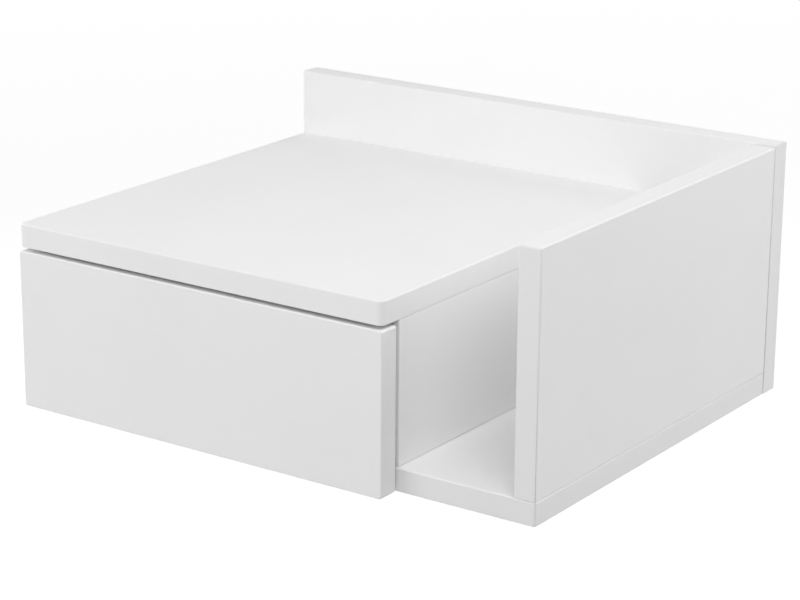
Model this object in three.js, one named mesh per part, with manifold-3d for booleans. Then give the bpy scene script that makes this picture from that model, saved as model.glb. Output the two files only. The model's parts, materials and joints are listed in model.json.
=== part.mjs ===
// Wall-hung nightstand of white lacquered boards, with a drawer on roller runners and an open slot beside it.
// Lengths are millimetres. X runs to the right, Y from the front to the wall, Z up.
// The origin is on the wall plane, midway between the two keyholes that the nightstand hangs by.

import * as THREE from "three";
import { mergeVertices } from "three/addons/utils/BufferGeometryUtils.js";
import Module from "manifold-3d";

const wasm = await Module();
wasm.setup();

// Overall sizes
const unitWidth = 370;
const unitDepth = 310;
const unitHeight = 165;
const topSurfaceHeight = 120;
const slotWidth = 79;

// Lacquered boards
const boardThickness = 15;
const boardEase = 1.4;
const boardCorner = 1.8;
const frontEase = 1.8;
const frontCorner = 2.4;
const seam = 0.2;
const sideTopDrop = 1;

// Drawer front
const frontReveal = 1.5;
const frontTopGap = 4;
const frontSideGap = 1;

// Drawer box
const boxThickness = 12;
const boxEase = 0.8;
const boxCorner = 1;
const boxFloorGap = 12;
const boxHeadGap = 10;
const boxRearGap = 5;
const bottomThickness = 3;
const hardboardEase = 0.2;
const bottomInset = 10;
const grooveDepth = 4;
const tongueLength = 6;
const tongueThickness = 6;
const fitClearance = 0.25;

// Roller runners, measured from the cabinet side (across) and from the drawer side's lower edge (up)
const runnerSpace = 12.5;
const runnerSteel = 1.2;
const runnerBend = 0.8;
const runnerFrontGap = 2;
const channelLip = 9.5;
const runningFlangeTop = 16;
const runningFlangeGap = 1.2;
const flangeReach = 8.6;
const ledgeWidth = 11;
const runnerStep = 50;
const drawerStay = 60;
const stopLugHeight = 2;
const stopLugLength = 5;

// Rollers and their pins
const frontRollerRadius = 8;
const rearRollerRadius = 8.8;
const rollerWidth = 5;
const rollerCrown = 0.4;
const rollerHubRadius = 4.4;
const rollerDish = 1;
const rollerContactGap = 0.2;
const frontRollerInset = 11;
const rearRollerInset = 10;
const rollerCutaway = 12;
const pinRadius = 2.5;
const pinRunningGap = 0.1;
const pinHeadRadius = 3.7;
const pinHeadThickness = 0.9;
const pinSideGap = 0.5;

// Countersunk screws that hold the runners and the hanger plates
const smallScrew = { headRadius: 3.4, shankRadius: 1.6, headHeight: 1.9, length: 11, tip: 2.4 };
const runnerScrewFront = 37;
const holePitch = 32;
const runnerScrewSteps = 4;
const spareHoleSteps = 5;
const spareHoleRadius = 2.2;
const screwLineHeight = 7.5;
const drawerScrewLength = 9;
const headSink = 0.15;

// One-piece connector screws that join the boards from behind and from below
const longScrew = { headRadius: 5, shankRadius: 3.4, headHeight: 3.4, length: 48, tip: 3 };
const screwFrontInset = 24;
const screwRearInset = 36;
const backScrewInset = 45;
const sideScrewBottomInset = 51;
const sideScrewTopInset = 31;

// Cam locks and their bolts, which draw the top down on the left side and the divider
const camRadius = 7.5;
const camHeight = 12;
const camChamfer = 0.6;
const camSlotWidth = 1.6;
const camSlotLength = 9;
const camSlotDepth = 2.6;
const camDistance = 24;
const camFrontInset = 50;
const camRearInset = 58;
const boltThreadRadius = 3.2;
const boltThreadLength = 10.5;
const boltCollarRadius = 4;
const boltCollarHeight = 1;
const boltPinRadius = 2.6;
const boltNeckRadius = 1.7;
const boltNeckLength = 4;
const boltHeadRadius = 3.1;
const boltHeadLength = 3;

// Keyhole hanger plates, let into the rear of the back panel
const hangerSideInset = 70;
const hangerTopInset = 27;
const plateWidth = 20;
const plateHeight = 48;
const plateThickness = 1.6;
const plateCorner = 4;
const plateSink = 0.3;
const plateAboveLine = 18;
const keySlotRadius = 2.5;
const keyEntryRadius = 5.2;
const keyDrop = 11;
const keyPocketDepth = 8;
const keyPocketMargin = 0.8;
const plateScrewInset = 6.5;
const plateScrewLength = 9;

// Soft pads that the drawer front closes on
const bumperRadius = 4;
const bumperDomeShare = 0.5;
const bumperDrop = 12;
const bumperGap = 0.1;

// Cutting tools run this far past the face that they cut
const overrun = 2;

// Facets of each kind of round
const smallScrewSides = 10;
const longScrewSides = 14;
const boltSides = 10;
const camSides = 20;
const rollerSides = 20;
const pinSides = 14;
const bendSteps = 3;
const plateSteps = 2;
const keySteps = 5;
const bumperSides = 12;

// Places that several pieces share
const leftEdge = -unitWidth / 2;
const rightEdge = unitWidth / 2;
const wallPlane = 0;
const backFace = wallPlane - boardThickness;
const frontPlane = wallPlane - unitDepth;
const carcassFront = frontPlane + boardThickness + frontReveal;
const carcassRear = backFace - seam;
const bottomTop = boardThickness;
const topUnderside = topSurfaceHeight - boardThickness;
const dividerRight = rightEdge - boardThickness - slotWidth;
const bayLeft = leftEdge + boardThickness;
const bayRight = dividerRight - boardThickness;
const boxLeft = bayLeft + runnerSpace;
const boxRight = bayRight - runnerSpace;
const boxFront = frontPlane + boardThickness;
const boxFloor = bottomTop + boxFloorGap;
const boxTop = topUnderside - boxHeadGap;
const hangerLineHeight = unitHeight - hangerTopInset;

// The runners are the longest of their standard lengths that the carcass takes
const boxDepth = runnerStep * Math.floor((backFace - boxRearGap - boxFront) / runnerStep);
const boxRear = boxFront + boxDepth;
const drawerTravel = boxDepth - drawerStay;
const bottomLow = boxFloor + bottomInset;
const bottomHigh = bottomLow + bottomThickness;

// Materials
const lacquer = new THREE.MeshStandardMaterial({ color: 0xf1f1ef, roughness: 0.35, metalness: 0 });
const boxBoard = new THREE.MeshStandardMaterial({ color: 0xeeeeea, roughness: 0.5, metalness: 0 });
const hardboard = new THREE.MeshStandardMaterial({ color: 0xe9e8e3, roughness: 0.6, metalness: 0 });
const whiteSteel = new THREE.MeshStandardMaterial({ color: 0xe9eae8, roughness: 0.4, metalness: 0.1 });
const nylon = new THREE.MeshStandardMaterial({ color: 0xdcdcd6, roughness: 0.5, metalness: 0 });
const zinc = new THREE.MeshStandardMaterial({ color: 0xb9bcc0, roughness: 0.35, metalness: 0.9 });
const silicone = new THREE.MeshStandardMaterial({ color: 0xdfe2e2, roughness: 0.3, metalness: 0 });

// How the edges of each kind of board are finished
const showSteps = { bevelSegments: 3, curveSegments: 2 };
const hiddenSteps = { bevelSegments: 2, curveSegments: 1 };
const carcassFinish = { material: lacquer, ease: boardEase, corner: boardCorner, ...showSteps };
const frontFinish = { material: lacquer, ease: frontEase, corner: frontCorner, ...showSteps };
const boxFinish = { material: boxBoard, ease: boxEase, corner: boxCorner, ...hiddenSteps };
const hardboardFinish = { material: hardboard, ease: hardboardEase, corner: boxCorner, ...hiddenSteps };

// A closed geometry as a solid that can be cut and joined.
function toSolid(geometry) {
  const bare = geometry.clone();
  bare.deleteAttribute("normal");
  bare.deleteAttribute("uv");
  const merged = mergeVertices(bare);
  const mesh = new wasm.Mesh({
    numProp: 3,
    vertProperties: merged.attributes.position.array,
    triVerts: new Uint32Array(merged.index.array),
  });
  return new wasm.Manifold(mesh);
}

// A solid back as a geometry.
function toGeometry(solid) {
  const { vertProperties, triVerts } = solid.getMesh();
  const geometry = new THREE.BufferGeometry();
  geometry.setAttribute("position", new THREE.BufferAttribute(new Float32Array(vertProperties), 3));
  geometry.setIndex(new THREE.BufferAttribute(new Uint32Array(triVerts), 1));
  geometry.computeVertexNormals();
  return geometry;
}

// Combines a mesh, where it is placed in the unit, with other geometries given in the unit's frame.
function combine(mesh, others, operation) {
  mesh.updateMatrix();
  const toLocal = mesh.matrix.clone().invert();
  const solid = others.reduce(
    (whole, other) => whole[operation](toSolid(other.clone().applyMatrix4(toLocal))),
    toSolid(mesh.geometry),
  );
  mesh.geometry = toGeometry(solid);
  return mesh;
}

const cut = (mesh, tools) => combine(mesh, tools, "subtract");
const weld = (mesh, extras) => combine(mesh, extras, "add");

// A rectangle with round corners, centred on the origin of its plane.
function roundedRectangle(width, height, radius) {
  const right = width / 2 - radius;
  const top = height / 2 - radius;
  const shape = new THREE.Shape();
  shape.absarc(right, top, radius, 0, Math.PI / 2, false);
  shape.absarc(-right, top, radius, Math.PI / 2, Math.PI, false);
  shape.absarc(-right, -top, radius, Math.PI, 1.5 * Math.PI, false);
  shape.absarc(right, -top, radius, 1.5 * Math.PI, 2 * Math.PI, false);
  shape.closePath();
  return shape;
}

// How a flat shape and its extrusion turn so that the extrusion runs along a board's thin axis.
const turnTo = {
  x: new THREE.Matrix4().makeBasis(
    new THREE.Vector3(0, 1, 0),
    new THREE.Vector3(0, 0, 1),
    new THREE.Vector3(1, 0, 0),
  ),
  y: new THREE.Matrix4().makeBasis(
    new THREE.Vector3(-1, 0, 0),
    new THREE.Vector3(0, 0, 1),
    new THREE.Vector3(0, 1, 0),
  ),
  z: new THREE.Matrix4(),
};
const flatAxes = { x: ["y", "z"], y: ["x", "z"], z: ["x", "y"] };

// A board between two corners with every edge eased, as boards are sanded before they are lacquered.
function easedBoard(name, low, high, thin, finish) {
  const { material, ease, corner, bevelSegments, curveSegments } = finish;
  const size = new THREE.Vector3().subVectors(high, low);
  const [across, along] = flatAxes[thin];
  const outline = roundedRectangle(size[across] - 2 * ease, size[along] - 2 * ease, corner - ease);
  const geometry = new THREE.ExtrudeGeometry(outline, {
    depth: size[thin] - 2 * ease,
    bevelThickness: ease,
    bevelSize: ease,
    bevelSegments,
    curveSegments,
  });
  geometry.applyMatrix4(turnTo[thin]);
  geometry.center();
  const mesh = new THREE.Mesh(geometry, material);
  mesh.name = name;
  mesh.position.addVectors(low, high).multiplyScalar(0.5);
  return mesh;
}

const corner3 = (x, y, z) => new THREE.Vector3(x, y, z);

// A box-shaped cutting tool between two corners.
function slab(low, high) {
  const size = new THREE.Vector3().subVectors(high, low);
  const middle = new THREE.Vector3().addVectors(low, high).multiplyScalar(0.5);
  return new THREE.BoxGeometry(size.x, size.y, size.z).translate(middle.x, middle.y, middle.z);
}

// A profile of [radius, distance along the axis] pairs turned about the Y axis.
function turned(profile, sides) {
  return new THREE.LatheGeometry(
    profile.map(([radius, along]) => new THREE.Vector2(radius, along)),
    sides,
  );
}

// A turned fastener that starts at a point and runs the way it is driven, with the hole that it needs.
// The profile function takes the clearance to grow by, so the hole follows the fastener.
function fastener(name, profile, at, direction, sides, material) {
  const mesh = new THREE.Mesh(turned(profile(0), sides), material);
  mesh.name = name;
  mesh.position.copy(at);
  mesh.quaternion.setFromUnitVectors(new THREE.Vector3(0, 1, 0), direction);
  mesh.updateMatrix();
  const hole = turned(profile(fitClearance), sides).applyMatrix4(mesh.matrix);
  return { mesh, hole };
}

const toLeft = corner3(-1, 0, 0);
const toRight = corner3(1, 0, 0);
const toFront = corner3(0, -1, 0);
const upward = corner3(0, 0, 1);
const downward = corner3(0, 0, -1);

// How a profile starts at a head of a given radius: flat on a fastener, and open past the face on its hole.
function openMouth(radius, grow) {
  return grow ? [[0, -overrun], [radius, -overrun]] : [[0, 0]];
}

// A countersunk screw's profile: flat head, cone, shank and point.
function screwProfile(screw, grow) {
  const head = screw.headRadius + grow;
  const shank = screw.shankRadius + grow;
  const end = screw.length + grow;
  return [
    ...openMouth(head, grow),
    [head, 0],
    [shank, screw.headHeight],
    [shank, end - screw.tip],
    [0, end],
  ];
}

const smallScrewAt = (name, at, direction, length = smallScrew.length) =>
  fastener(
    name,
    (grow) => screwProfile({ ...smallScrew, length }, grow),
    at,
    direction,
    smallScrewSides,
    zinc,
  );

const longScrewAt = (name, at, direction) =>
  fastener(name, (grow) => screwProfile(longScrew, grow), at, direction, longScrewSides, zinc);

const meshesOf = (fasteners) => fasteners.map(({ mesh }) => mesh);
const holesOf = (fasteners) => fasteners.map(({ hole }) => hole);

// Connector screws driven up through the bottom into the two sides and the divider.
function bottomScrews() {
  const columns = {
    left: leftEdge + boardThickness / 2,
    divider: dividerRight - boardThickness / 2,
    right: rightEdge - boardThickness / 2,
  };
  const rows = { front: carcassFront + screwFrontInset, rear: carcassRear - screwRearInset };
  return Object.entries(columns).map(([column, x]) =>
    Object.entries(rows).map(([row, y]) =>
      longScrewAt(`bottom_screw_${column}_${row}`, corner3(x, y, headSink), upward),
    ),
  );
}

// Connector screws driven from the wall side into the rear edges of the top, the bottom and the right side.
function backScrews() {
  const topLine = topSurfaceHeight - boardThickness / 2;
  const bottomLine = boardThickness / 2;
  const sideLine = rightEdge - boardThickness / 2;
  const at = (name, x, z) =>
    longScrewAt(`back_screw_${name}`, corner3(x, wallPlane - headSink, z), toFront);
  return {
    top: [
      at("top_left", leftEdge + backScrewInset, topLine),
      at("top_right", dividerRight - backScrewInset, topLine),
    ],
    bottom: [
      at("bottom_left", leftEdge + backScrewInset, bottomLine),
      at("bottom_right", rightEdge - backScrewInset, bottomLine),
    ],
    side: [
      at("side_lower", sideLine, bottomTop + sideScrewBottomInset),
      at("side_upper", sideLine, unitHeight - sideScrewTopInset),
    ],
  };
}

// A cam bolt's profile, from the end of its thread in the top to the head that the cam grips. Its hole is
// drilled to the thread's size in the top and to the collar's size in the upright.
function camBoltProfile(grow) {
  const headEnd = boltThreadLength + seam + camDistance + boltHeadLength / 2;
  const headStart = headEnd - boltHeadLength;
  const neckStart = headStart - boltNeckLength;
  const collarEnd = boltThreadLength + boltCollarHeight;
  const thread = [
    [0, -grow],
    [boltThreadRadius + grow, -grow],
    [boltThreadRadius + grow, boltThreadLength - grow],
    [boltCollarRadius + grow, boltThreadLength - grow],
  ];
  const shank = [
    [boltCollarRadius, collarEnd],
    [boltPinRadius, collarEnd],
    [boltPinRadius, neckStart],
    [boltNeckRadius, neckStart],
    [boltNeckRadius, headStart],
    [boltHeadRadius, headStart],
    [boltHeadRadius, headEnd],
    [0, headEnd],
  ];
  const bore = [
    [boltCollarRadius + grow, headEnd + grow],
    [0, headEnd + grow],
  ];
  return [...thread, ...(grow ? bore : shank)];
}

// A cam's profile, from its slotted face inwards.
function camProfile(grow) {
  const rim = camRadius + grow;
  const chamfered = [
    [0, 0],
    [rim - camChamfer, 0],
    [rim, camChamfer],
  ];
  return [
    ...(grow ? openMouth(rim, grow) : chamfered),
    [rim, camHeight + grow],
    [0, camHeight + grow],
  ];
}

// One cam lock in an upright panel's inner face, with its bolt up into the top.
function camLock(place, faceX, y, into) {
  const boltX = faceX + (into.x * boardThickness) / 2;
  const bolt = fastener(
    `cam_bolt_${place}`,
    camBoltProfile,
    corner3(boltX, y, topUnderside + boltThreadLength),
    downward,
    boltSides,
    zinc,
  );
  const camHeightLine = topUnderside - seam - camDistance;
  const cam = fastener(
    `cam_lock_${place}`,
    camProfile,
    corner3(faceX + into.x * headSink, y, camHeightLine),
    into,
    camSides,
    zinc,
  );
  const slotReach = faceX + into.x * (headSink + camSlotDepth);
  const slotStart = faceX - into.x * overrun;
  const crossArm = (halfY, halfZ) =>
    slab(
      corner3(Math.min(slotStart, slotReach), y - halfY, camHeightLine - halfZ),
      corner3(Math.max(slotStart, slotReach), y + halfY, camHeightLine + halfZ),
    );
  cut(cam.mesh, [
    bolt.hole,
    crossArm(camSlotLength / 2, camSlotWidth / 2),
    crossArm(camSlotWidth / 2, camSlotLength / 2),
  ]);
  return { cam, bolt };
}

// The direction to the left of a heading, in a flat outline.
const leftOf = (heading) => new THREE.Vector2(-heading.y, heading.x);

// The outline of bent sheet steel: a path of corners, each bent to a radius, given the steel's thickness.
function sheetProfile(corners, thickness, bendRadius) {
  const middleRadius = bendRadius + thickness / 2;
  const points = [corners[0].clone()];
  const headings = [];
  for (let i = 1; i < corners.length - 1; i++) {
    const before = new THREE.Vector2().subVectors(corners[i], corners[i - 1]).normalize();
    const after = new THREE.Vector2().subVectors(corners[i + 1], corners[i]).normalize();
    const turn = Math.atan2(before.cross(after), before.dot(after));
    const setback = middleRadius * Math.tan(Math.abs(turn) / 2);
    const start = corners[i].clone().addScaledVector(before, -setback);
    const centre = start.clone().addScaledVector(leftOf(before), Math.sign(turn) * middleRadius);
    for (let s = 0; s <= bendSteps; s++) {
      const angle = (turn * s) / bendSteps;
      points.push(start.clone().rotateAround(centre, angle));
      headings.push(before.clone().rotateAround(new THREE.Vector2(), angle));
    }
  }
  points.push(corners[corners.length - 1].clone());
  headings.unshift(headings[0].clone());
  headings.push(headings[headings.length - 1].clone());
  const face = (distance) =>
    points.map((point, i) => point.clone().addScaledVector(leftOf(headings[i]), distance));
  return new THREE.Shape([...face(thickness / 2), ...face(-thickness / 2).reverse()]);
}

// Levels in a runner, up from the drawer side's lower edge
const halfSteel = runnerSteel / 2;
const runningFlangeUnderside = runningFlangeTop - runnerSteel;
const frontRollerHeight = runningFlangeUnderside - rollerContactGap - frontRollerRadius;
const channelFloor = frontRollerHeight - frontRollerRadius - rollerContactGap;
const rearRollerHeight = channelFloor + rollerContactGap + rearRollerRadius;
const channelCeiling = Math.max(runningFlangeTop, rearRollerHeight + rearRollerRadius) + runningFlangeGap;

// Distances across a runner, from the upright that carries it
const webInner = seam + runnerSteel;
const drawerWebInner = runnerSpace - seam - runnerSteel;
const rollerMiddle = pinSideGap + rollerWidth / 2;

// Places along a runner
const cabinetRailFront = carcassFront + runnerFrontGap;
const frontPinY = cabinetRailFront + frontRollerInset;
const rearPinY = boxRear - rearRollerInset;
const firstHoleY = carcassFront + runnerScrewFront;
const runnerScrewRows = { front: firstHoleY, rear: firstHoleY + runnerScrewSteps * holePitch };

// Where one side's runner stands, and which ways lead out of the drawer and into it.
function runnerPlace(side) {
  const hand = side === "left" ? 1 : -1;
  const origin = side === "left" ? bayLeft : bayRight;
  const [outward, inward] = side === "left" ? [toLeft, toRight] : [toRight, toLeft];
  const across = (distance) => origin + hand * distance;
  return { side, hand, origin, outward, inward, across };
}

// A bent steel rail along Y, from its section in distances across and up.
function bentRail(name, section, place, yFront, yRear) {
  const corners = section.map(([distance, up]) => new THREE.Vector2(place.hand * distance, up));
  const geometry = new THREE.ExtrudeGeometry(sheetProfile(corners, runnerSteel, runnerBend), {
    depth: yRear - yFront,
    bevelEnabled: false,
  });
  geometry.rotateX(Math.PI / 2);
  const mesh = new THREE.Mesh(geometry, whiteSteel);
  mesh.name = name;
  mesh.position.set(place.origin, yRear, boxFloor);
  return mesh;
}

// A roller with a crowned tread and a dished face round its hub, turned about its pin.
function rollerProfile(radius) {
  const bore = pinRadius + pinRunningGap;
  const half = rollerWidth / 2;
  const rim = radius - rollerDish;
  return [
    [bore, -half],
    [rollerHubRadius, -half],
    [rollerHubRadius, rollerDish - half],
    [rim - rollerDish, rollerDish - half],
    [rim - rollerDish, -half],
    [radius - rollerCrown, -half],
    [radius, -half + rollerCrown],
    [radius, half - rollerCrown],
    [radius - rollerCrown, half],
    [bore, half],
    [bore, -half],
  ];
}

function roller(name, radius, at) {
  const mesh = new THREE.Mesh(turned(rollerProfile(radius), rollerSides), nylon);
  mesh.name = name;
  mesh.position.copy(at);
  mesh.quaternion.setFromUnitVectors(new THREE.Vector3(0, 1, 0), toRight);
  return mesh;
}

// A roller pin: countersunk in the rail's web, a shank, and a head that keeps the roller on.
function pinProfile(grow) {
  const length = runnerSteel + pinSideGap + rollerWidth + pinSideGap / 2 + pinHeadThickness;
  return [
    ...openMouth(pinHeadRadius + grow, grow),
    [pinHeadRadius + grow, 0],
    [pinRadius + grow, runnerSteel],
    [pinRadius + grow, length - pinHeadThickness],
    [pinHeadRadius, length - pinHeadThickness],
    [pinHeadRadius, length],
    [0, length],
  ];
}

const rollerPin = (name, at, direction) => fastener(name, pinProfile, at, direction, pinSides, zinc);

// The two screws that hold one rail, driven from a distance across.
const runnerScrews = (rail, side, startX, direction, length) =>
  Object.entries(runnerScrewRows).map(([row, y]) =>
    smallScrewAt(
      `${rail}_runner_screw_${side}_${row}`,
      corner3(startX, y, boxFloor + screwLineHeight),
      direction,
      length,
    ),
  );

// The spare fixing holes in a cabinet rail's web, at the pitch of its screws.
function spareHoles({ across, outward }) {
  const bore = [
    [0, 0],
    [spareHoleRadius, 0],
    [spareHoleRadius, runnerSteel + 2 * overrun],
    [0, runnerSteel + 2 * overrun],
  ];
  const holes = [];
  for (let step = 1; step <= spareHoleSteps; step++) {
    if (step === runnerScrewSteps) continue;
    const hole = new THREE.Mesh(turned(bore, smallScrewSides));
    hole.position.set(across(webInner + overrun), firstHoleY + step * holePitch, boxFloor + screwLineHeight);
    hole.quaternion.setFromUnitVectors(new THREE.Vector3(0, 1, 0), outward);
    hole.updateMatrix();
    holes.push(hole.geometry.applyMatrix4(hole.matrix));
  }
  return holes;
}

// The ramp pressed up from the channel's floor that stops the rear roller when the drawer is fully out.
function stopLug({ across }) {
  const rollerAboveLug = rearRollerRadius + rollerContactGap - stopLugHeight;
  const reach = Math.sqrt(rearRollerRadius ** 2 - rollerAboveLug ** 2);
  const rear = rearPinY - drawerTravel - reach - rollerContactGap;
  const ramp = new THREE.Shape();
  ramp.moveTo(rear - stopLugLength, channelFloor - halfSteel);
  ramp.lineTo(rear, channelFloor - halfSteel);
  ramp.lineTo(rear, channelFloor + stopLugHeight);
  ramp.closePath();
  const sides = [across(seam + halfSteel), across(channelLip - runnerSteel)];
  const width = Math.abs(sides[1] - sides[0]);
  const lug = new THREE.ExtrudeGeometry(ramp, { depth: width, bevelEnabled: false });
  lug.applyMatrix4(turnTo.x);
  return lug.translate(Math.min(...sides), 0, boxFloor);
}

// The half of a runner that stays on the upright: a channel with a roller at its front.
function cabinetHalf(place) {
  const { side, across, inward, outward } = place;
  const web = seam + halfSteel;
  const section = [
    [channelLip, channelFloor - halfSteel],
    [web, channelFloor - halfSteel],
    [web, channelCeiling + halfSteel],
    [channelLip, channelCeiling + halfSteel],
  ];
  const railRear = cabinetRailFront + boxDepth;
  const rail = bentRail(`cabinet_runner_${side}`, section, place, cabinetRailFront, railRear);
  const pinPoint = (distance) => corner3(across(distance), frontPinY, boxFloor + frontRollerHeight);
  const pin = rollerPin(`front_roller_pin_${side}`, pinPoint(seam), inward);
  const wheel = roller(`front_roller_${side}`, frontRollerRadius, pinPoint(webInner + rollerMiddle));
  const screws = runnerScrews("cabinet", side, across(webInner - headSink), outward, smallScrew.length);
  weld(rail, [stopLug(place)]);
  cut(rail, [pin.hole, ...holesOf(screws), ...spareHoles(place)]);
  return { meshes: [rail, pin.mesh, wheel, ...meshesOf(screws)], holes: holesOf(screws) };
}

// The half that rides with the drawer: a ledge under its side, a flange that runs on the front roller, and a
// roller at the rear, where the flange is cut away.
function drawerHalf(place) {
  const { side, across, inward, outward } = place;
  const web = drawerWebInner + halfSteel;
  const section = [
    [web + ledgeWidth, -seam - halfSteel],
    [web, -seam - halfSteel],
    [web, runningFlangeTop - halfSteel],
    [web - flangeReach, runningFlangeTop - halfSteel],
  ];
  const rail = bentRail(`drawer_runner_${side}`, section, place, boxFront + seam, boxRear);
  const pinPoint = (distance) => corner3(across(distance), rearPinY, boxFloor + rearRollerHeight);
  const pin = rollerPin(`rear_roller_pin_${side}`, pinPoint(drawerWebInner + runnerSteel), outward);
  const wheel = roller(`rear_roller_${side}`, rearRollerRadius, pinPoint(drawerWebInner - rollerMiddle));
  const screwStart = across(drawerWebInner + headSink);
  const screws = runnerScrews("drawer", side, screwStart, inward, drawerScrewLength);
  const flangeSides = [across(drawerWebInner - flangeReach - overrun), across(drawerWebInner - seam)];
  const cutaway = slab(
    corner3(Math.min(...flangeSides), rearPinY - rollerCutaway, boxFloor + runnerSteel),
    corner3(Math.max(...flangeSides), boxRear + overrun, boxFloor + runningFlangeTop + overrun),
  );
  cut(rail, [pin.hole, cutaway, ...holesOf(screws)]);
  return { meshes: [rail, pin.mesh, wheel, ...meshesOf(screws)], holes: holesOf(screws) };
}

// One side's runner.
function runner(side) {
  const place = runnerPlace(side);
  return { cabinet: cabinetHalf(place), drawer: drawerHalf(place) };
}

// A flat outline cut forwards from a plane on the wall side, to a depth, with its middle at x and z.
function fromRear(outline, start, depth, x, z, steps) {
  const geometry = new THREE.ExtrudeGeometry(outline, { depth, bevelEnabled: false, curveSegments: steps });
  geometry.rotateX(Math.PI / 2);
  return geometry.translate(x, start, z);
}

// A keyhole: a round entry for a screw head, and a narrow slot above it that the head can't pass.
// Its origin is where the screw's shank comes to rest.
function keyholeOutline() {
  const meeting = Math.asin(keySlotRadius / keyEntryRadius);
  const shape = new THREE.Shape();
  shape.absarc(0, 0, keySlotRadius, 0, Math.PI, false);
  shape.absarc(0, -keyDrop, keyEntryRadius, Math.PI / 2 + meeting, 2.5 * Math.PI - meeting, false);
  shape.closePath();
  return shape;
}

// A steel hanger plate with its keyhole.
function hangerPlate(name, x) {
  const outline = roundedRectangle(plateWidth, plateHeight, plateCorner);
  const geometry = fromRear(outline, 0, plateThickness, 0, 0, plateSteps);
  const mesh = new THREE.Mesh(geometry, zinc);
  mesh.name = name;
  mesh.position.set(x, wallPlane - plateSink, hangerLineHeight + plateAboveLine - plateHeight / 2);
  const keyhole = fromRear(
    keyholeOutline(),
    wallPlane + overrun,
    plateThickness + 2 * overrun,
    x,
    hangerLineHeight,
    keySteps,
  );
  return cut(mesh, [keyhole]);
}

// The shallow seat for a hanger plate and the deeper pocket for the wall screw's head behind its keyhole.
function hangerRecess(x) {
  const start = wallPlane + overrun;
  const seatWidth = plateWidth + 2 * fitClearance;
  const seatHeight = plateHeight + 2 * fitClearance;
  const seat = fromRear(
    roundedRectangle(seatWidth, seatHeight, plateCorner + fitClearance),
    start,
    overrun + plateSink + plateThickness + seam,
    x,
    hangerLineHeight + plateAboveLine - plateHeight / 2,
    plateSteps,
  );
  const pocketRadius = keyEntryRadius + keyPocketMargin;
  const pocket = fromRear(
    roundedRectangle(2 * pocketRadius, keyDrop + 2 * pocketRadius, pocketRadius),
    start,
    overrun + plateSink + plateThickness + keyPocketDepth,
    x,
    hangerLineHeight - keyDrop / 2,
    plateSteps,
  );
  return [seat, pocket];
}

// A pair of hanger plates, each held by a screw above and a screw below its keyhole.
function hangers() {
  const places = { left: leftEdge + hangerSideInset, right: rightEdge - hangerSideInset };
  const plates = [];
  const screws = [];
  const recesses = [];
  for (const [side, x] of Object.entries(places)) {
    const rows = {
      upper: hangerLineHeight + plateAboveLine - plateScrewInset,
      lower: hangerLineHeight + plateAboveLine - plateHeight + plateScrewInset,
    };
    const own = Object.entries(rows).map(([row, z]) =>
      smallScrewAt(
        `hanger_screw_${side}_${row}`,
        corner3(x, wallPlane - plateSink - headSink, z),
        toFront,
        plateScrewLength,
      ),
    );
    plates.push(cut(hangerPlate(`hanger_plate_${side}`, x), holesOf(own)));
    screws.push(...own);
    recesses.push(...hangerRecess(x));
  }
  return { plates, screws, recesses };
}

// A soft dome on the carcass's front edge that sets the reveal behind the drawer front.
function bumper(name, x) {
  const height = frontReveal - 2 * bumperGap;
  const dome = [
    [0, 0],
    [bumperRadius, 0],
    [bumperRadius, height * bumperDomeShare],
    [bumperRadius * bumperDomeShare, height],
    [0, height],
  ];
  const mesh = new THREE.Mesh(turned(dome, bumperSides), silicone);
  mesh.name = name;
  mesh.position.set(x, carcassFront - bumperGap, topUnderside - bumperDrop);
  mesh.quaternion.setFromUnitVectors(new THREE.Vector3(0, 1, 0), toFront);
  return mesh;
}

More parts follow.
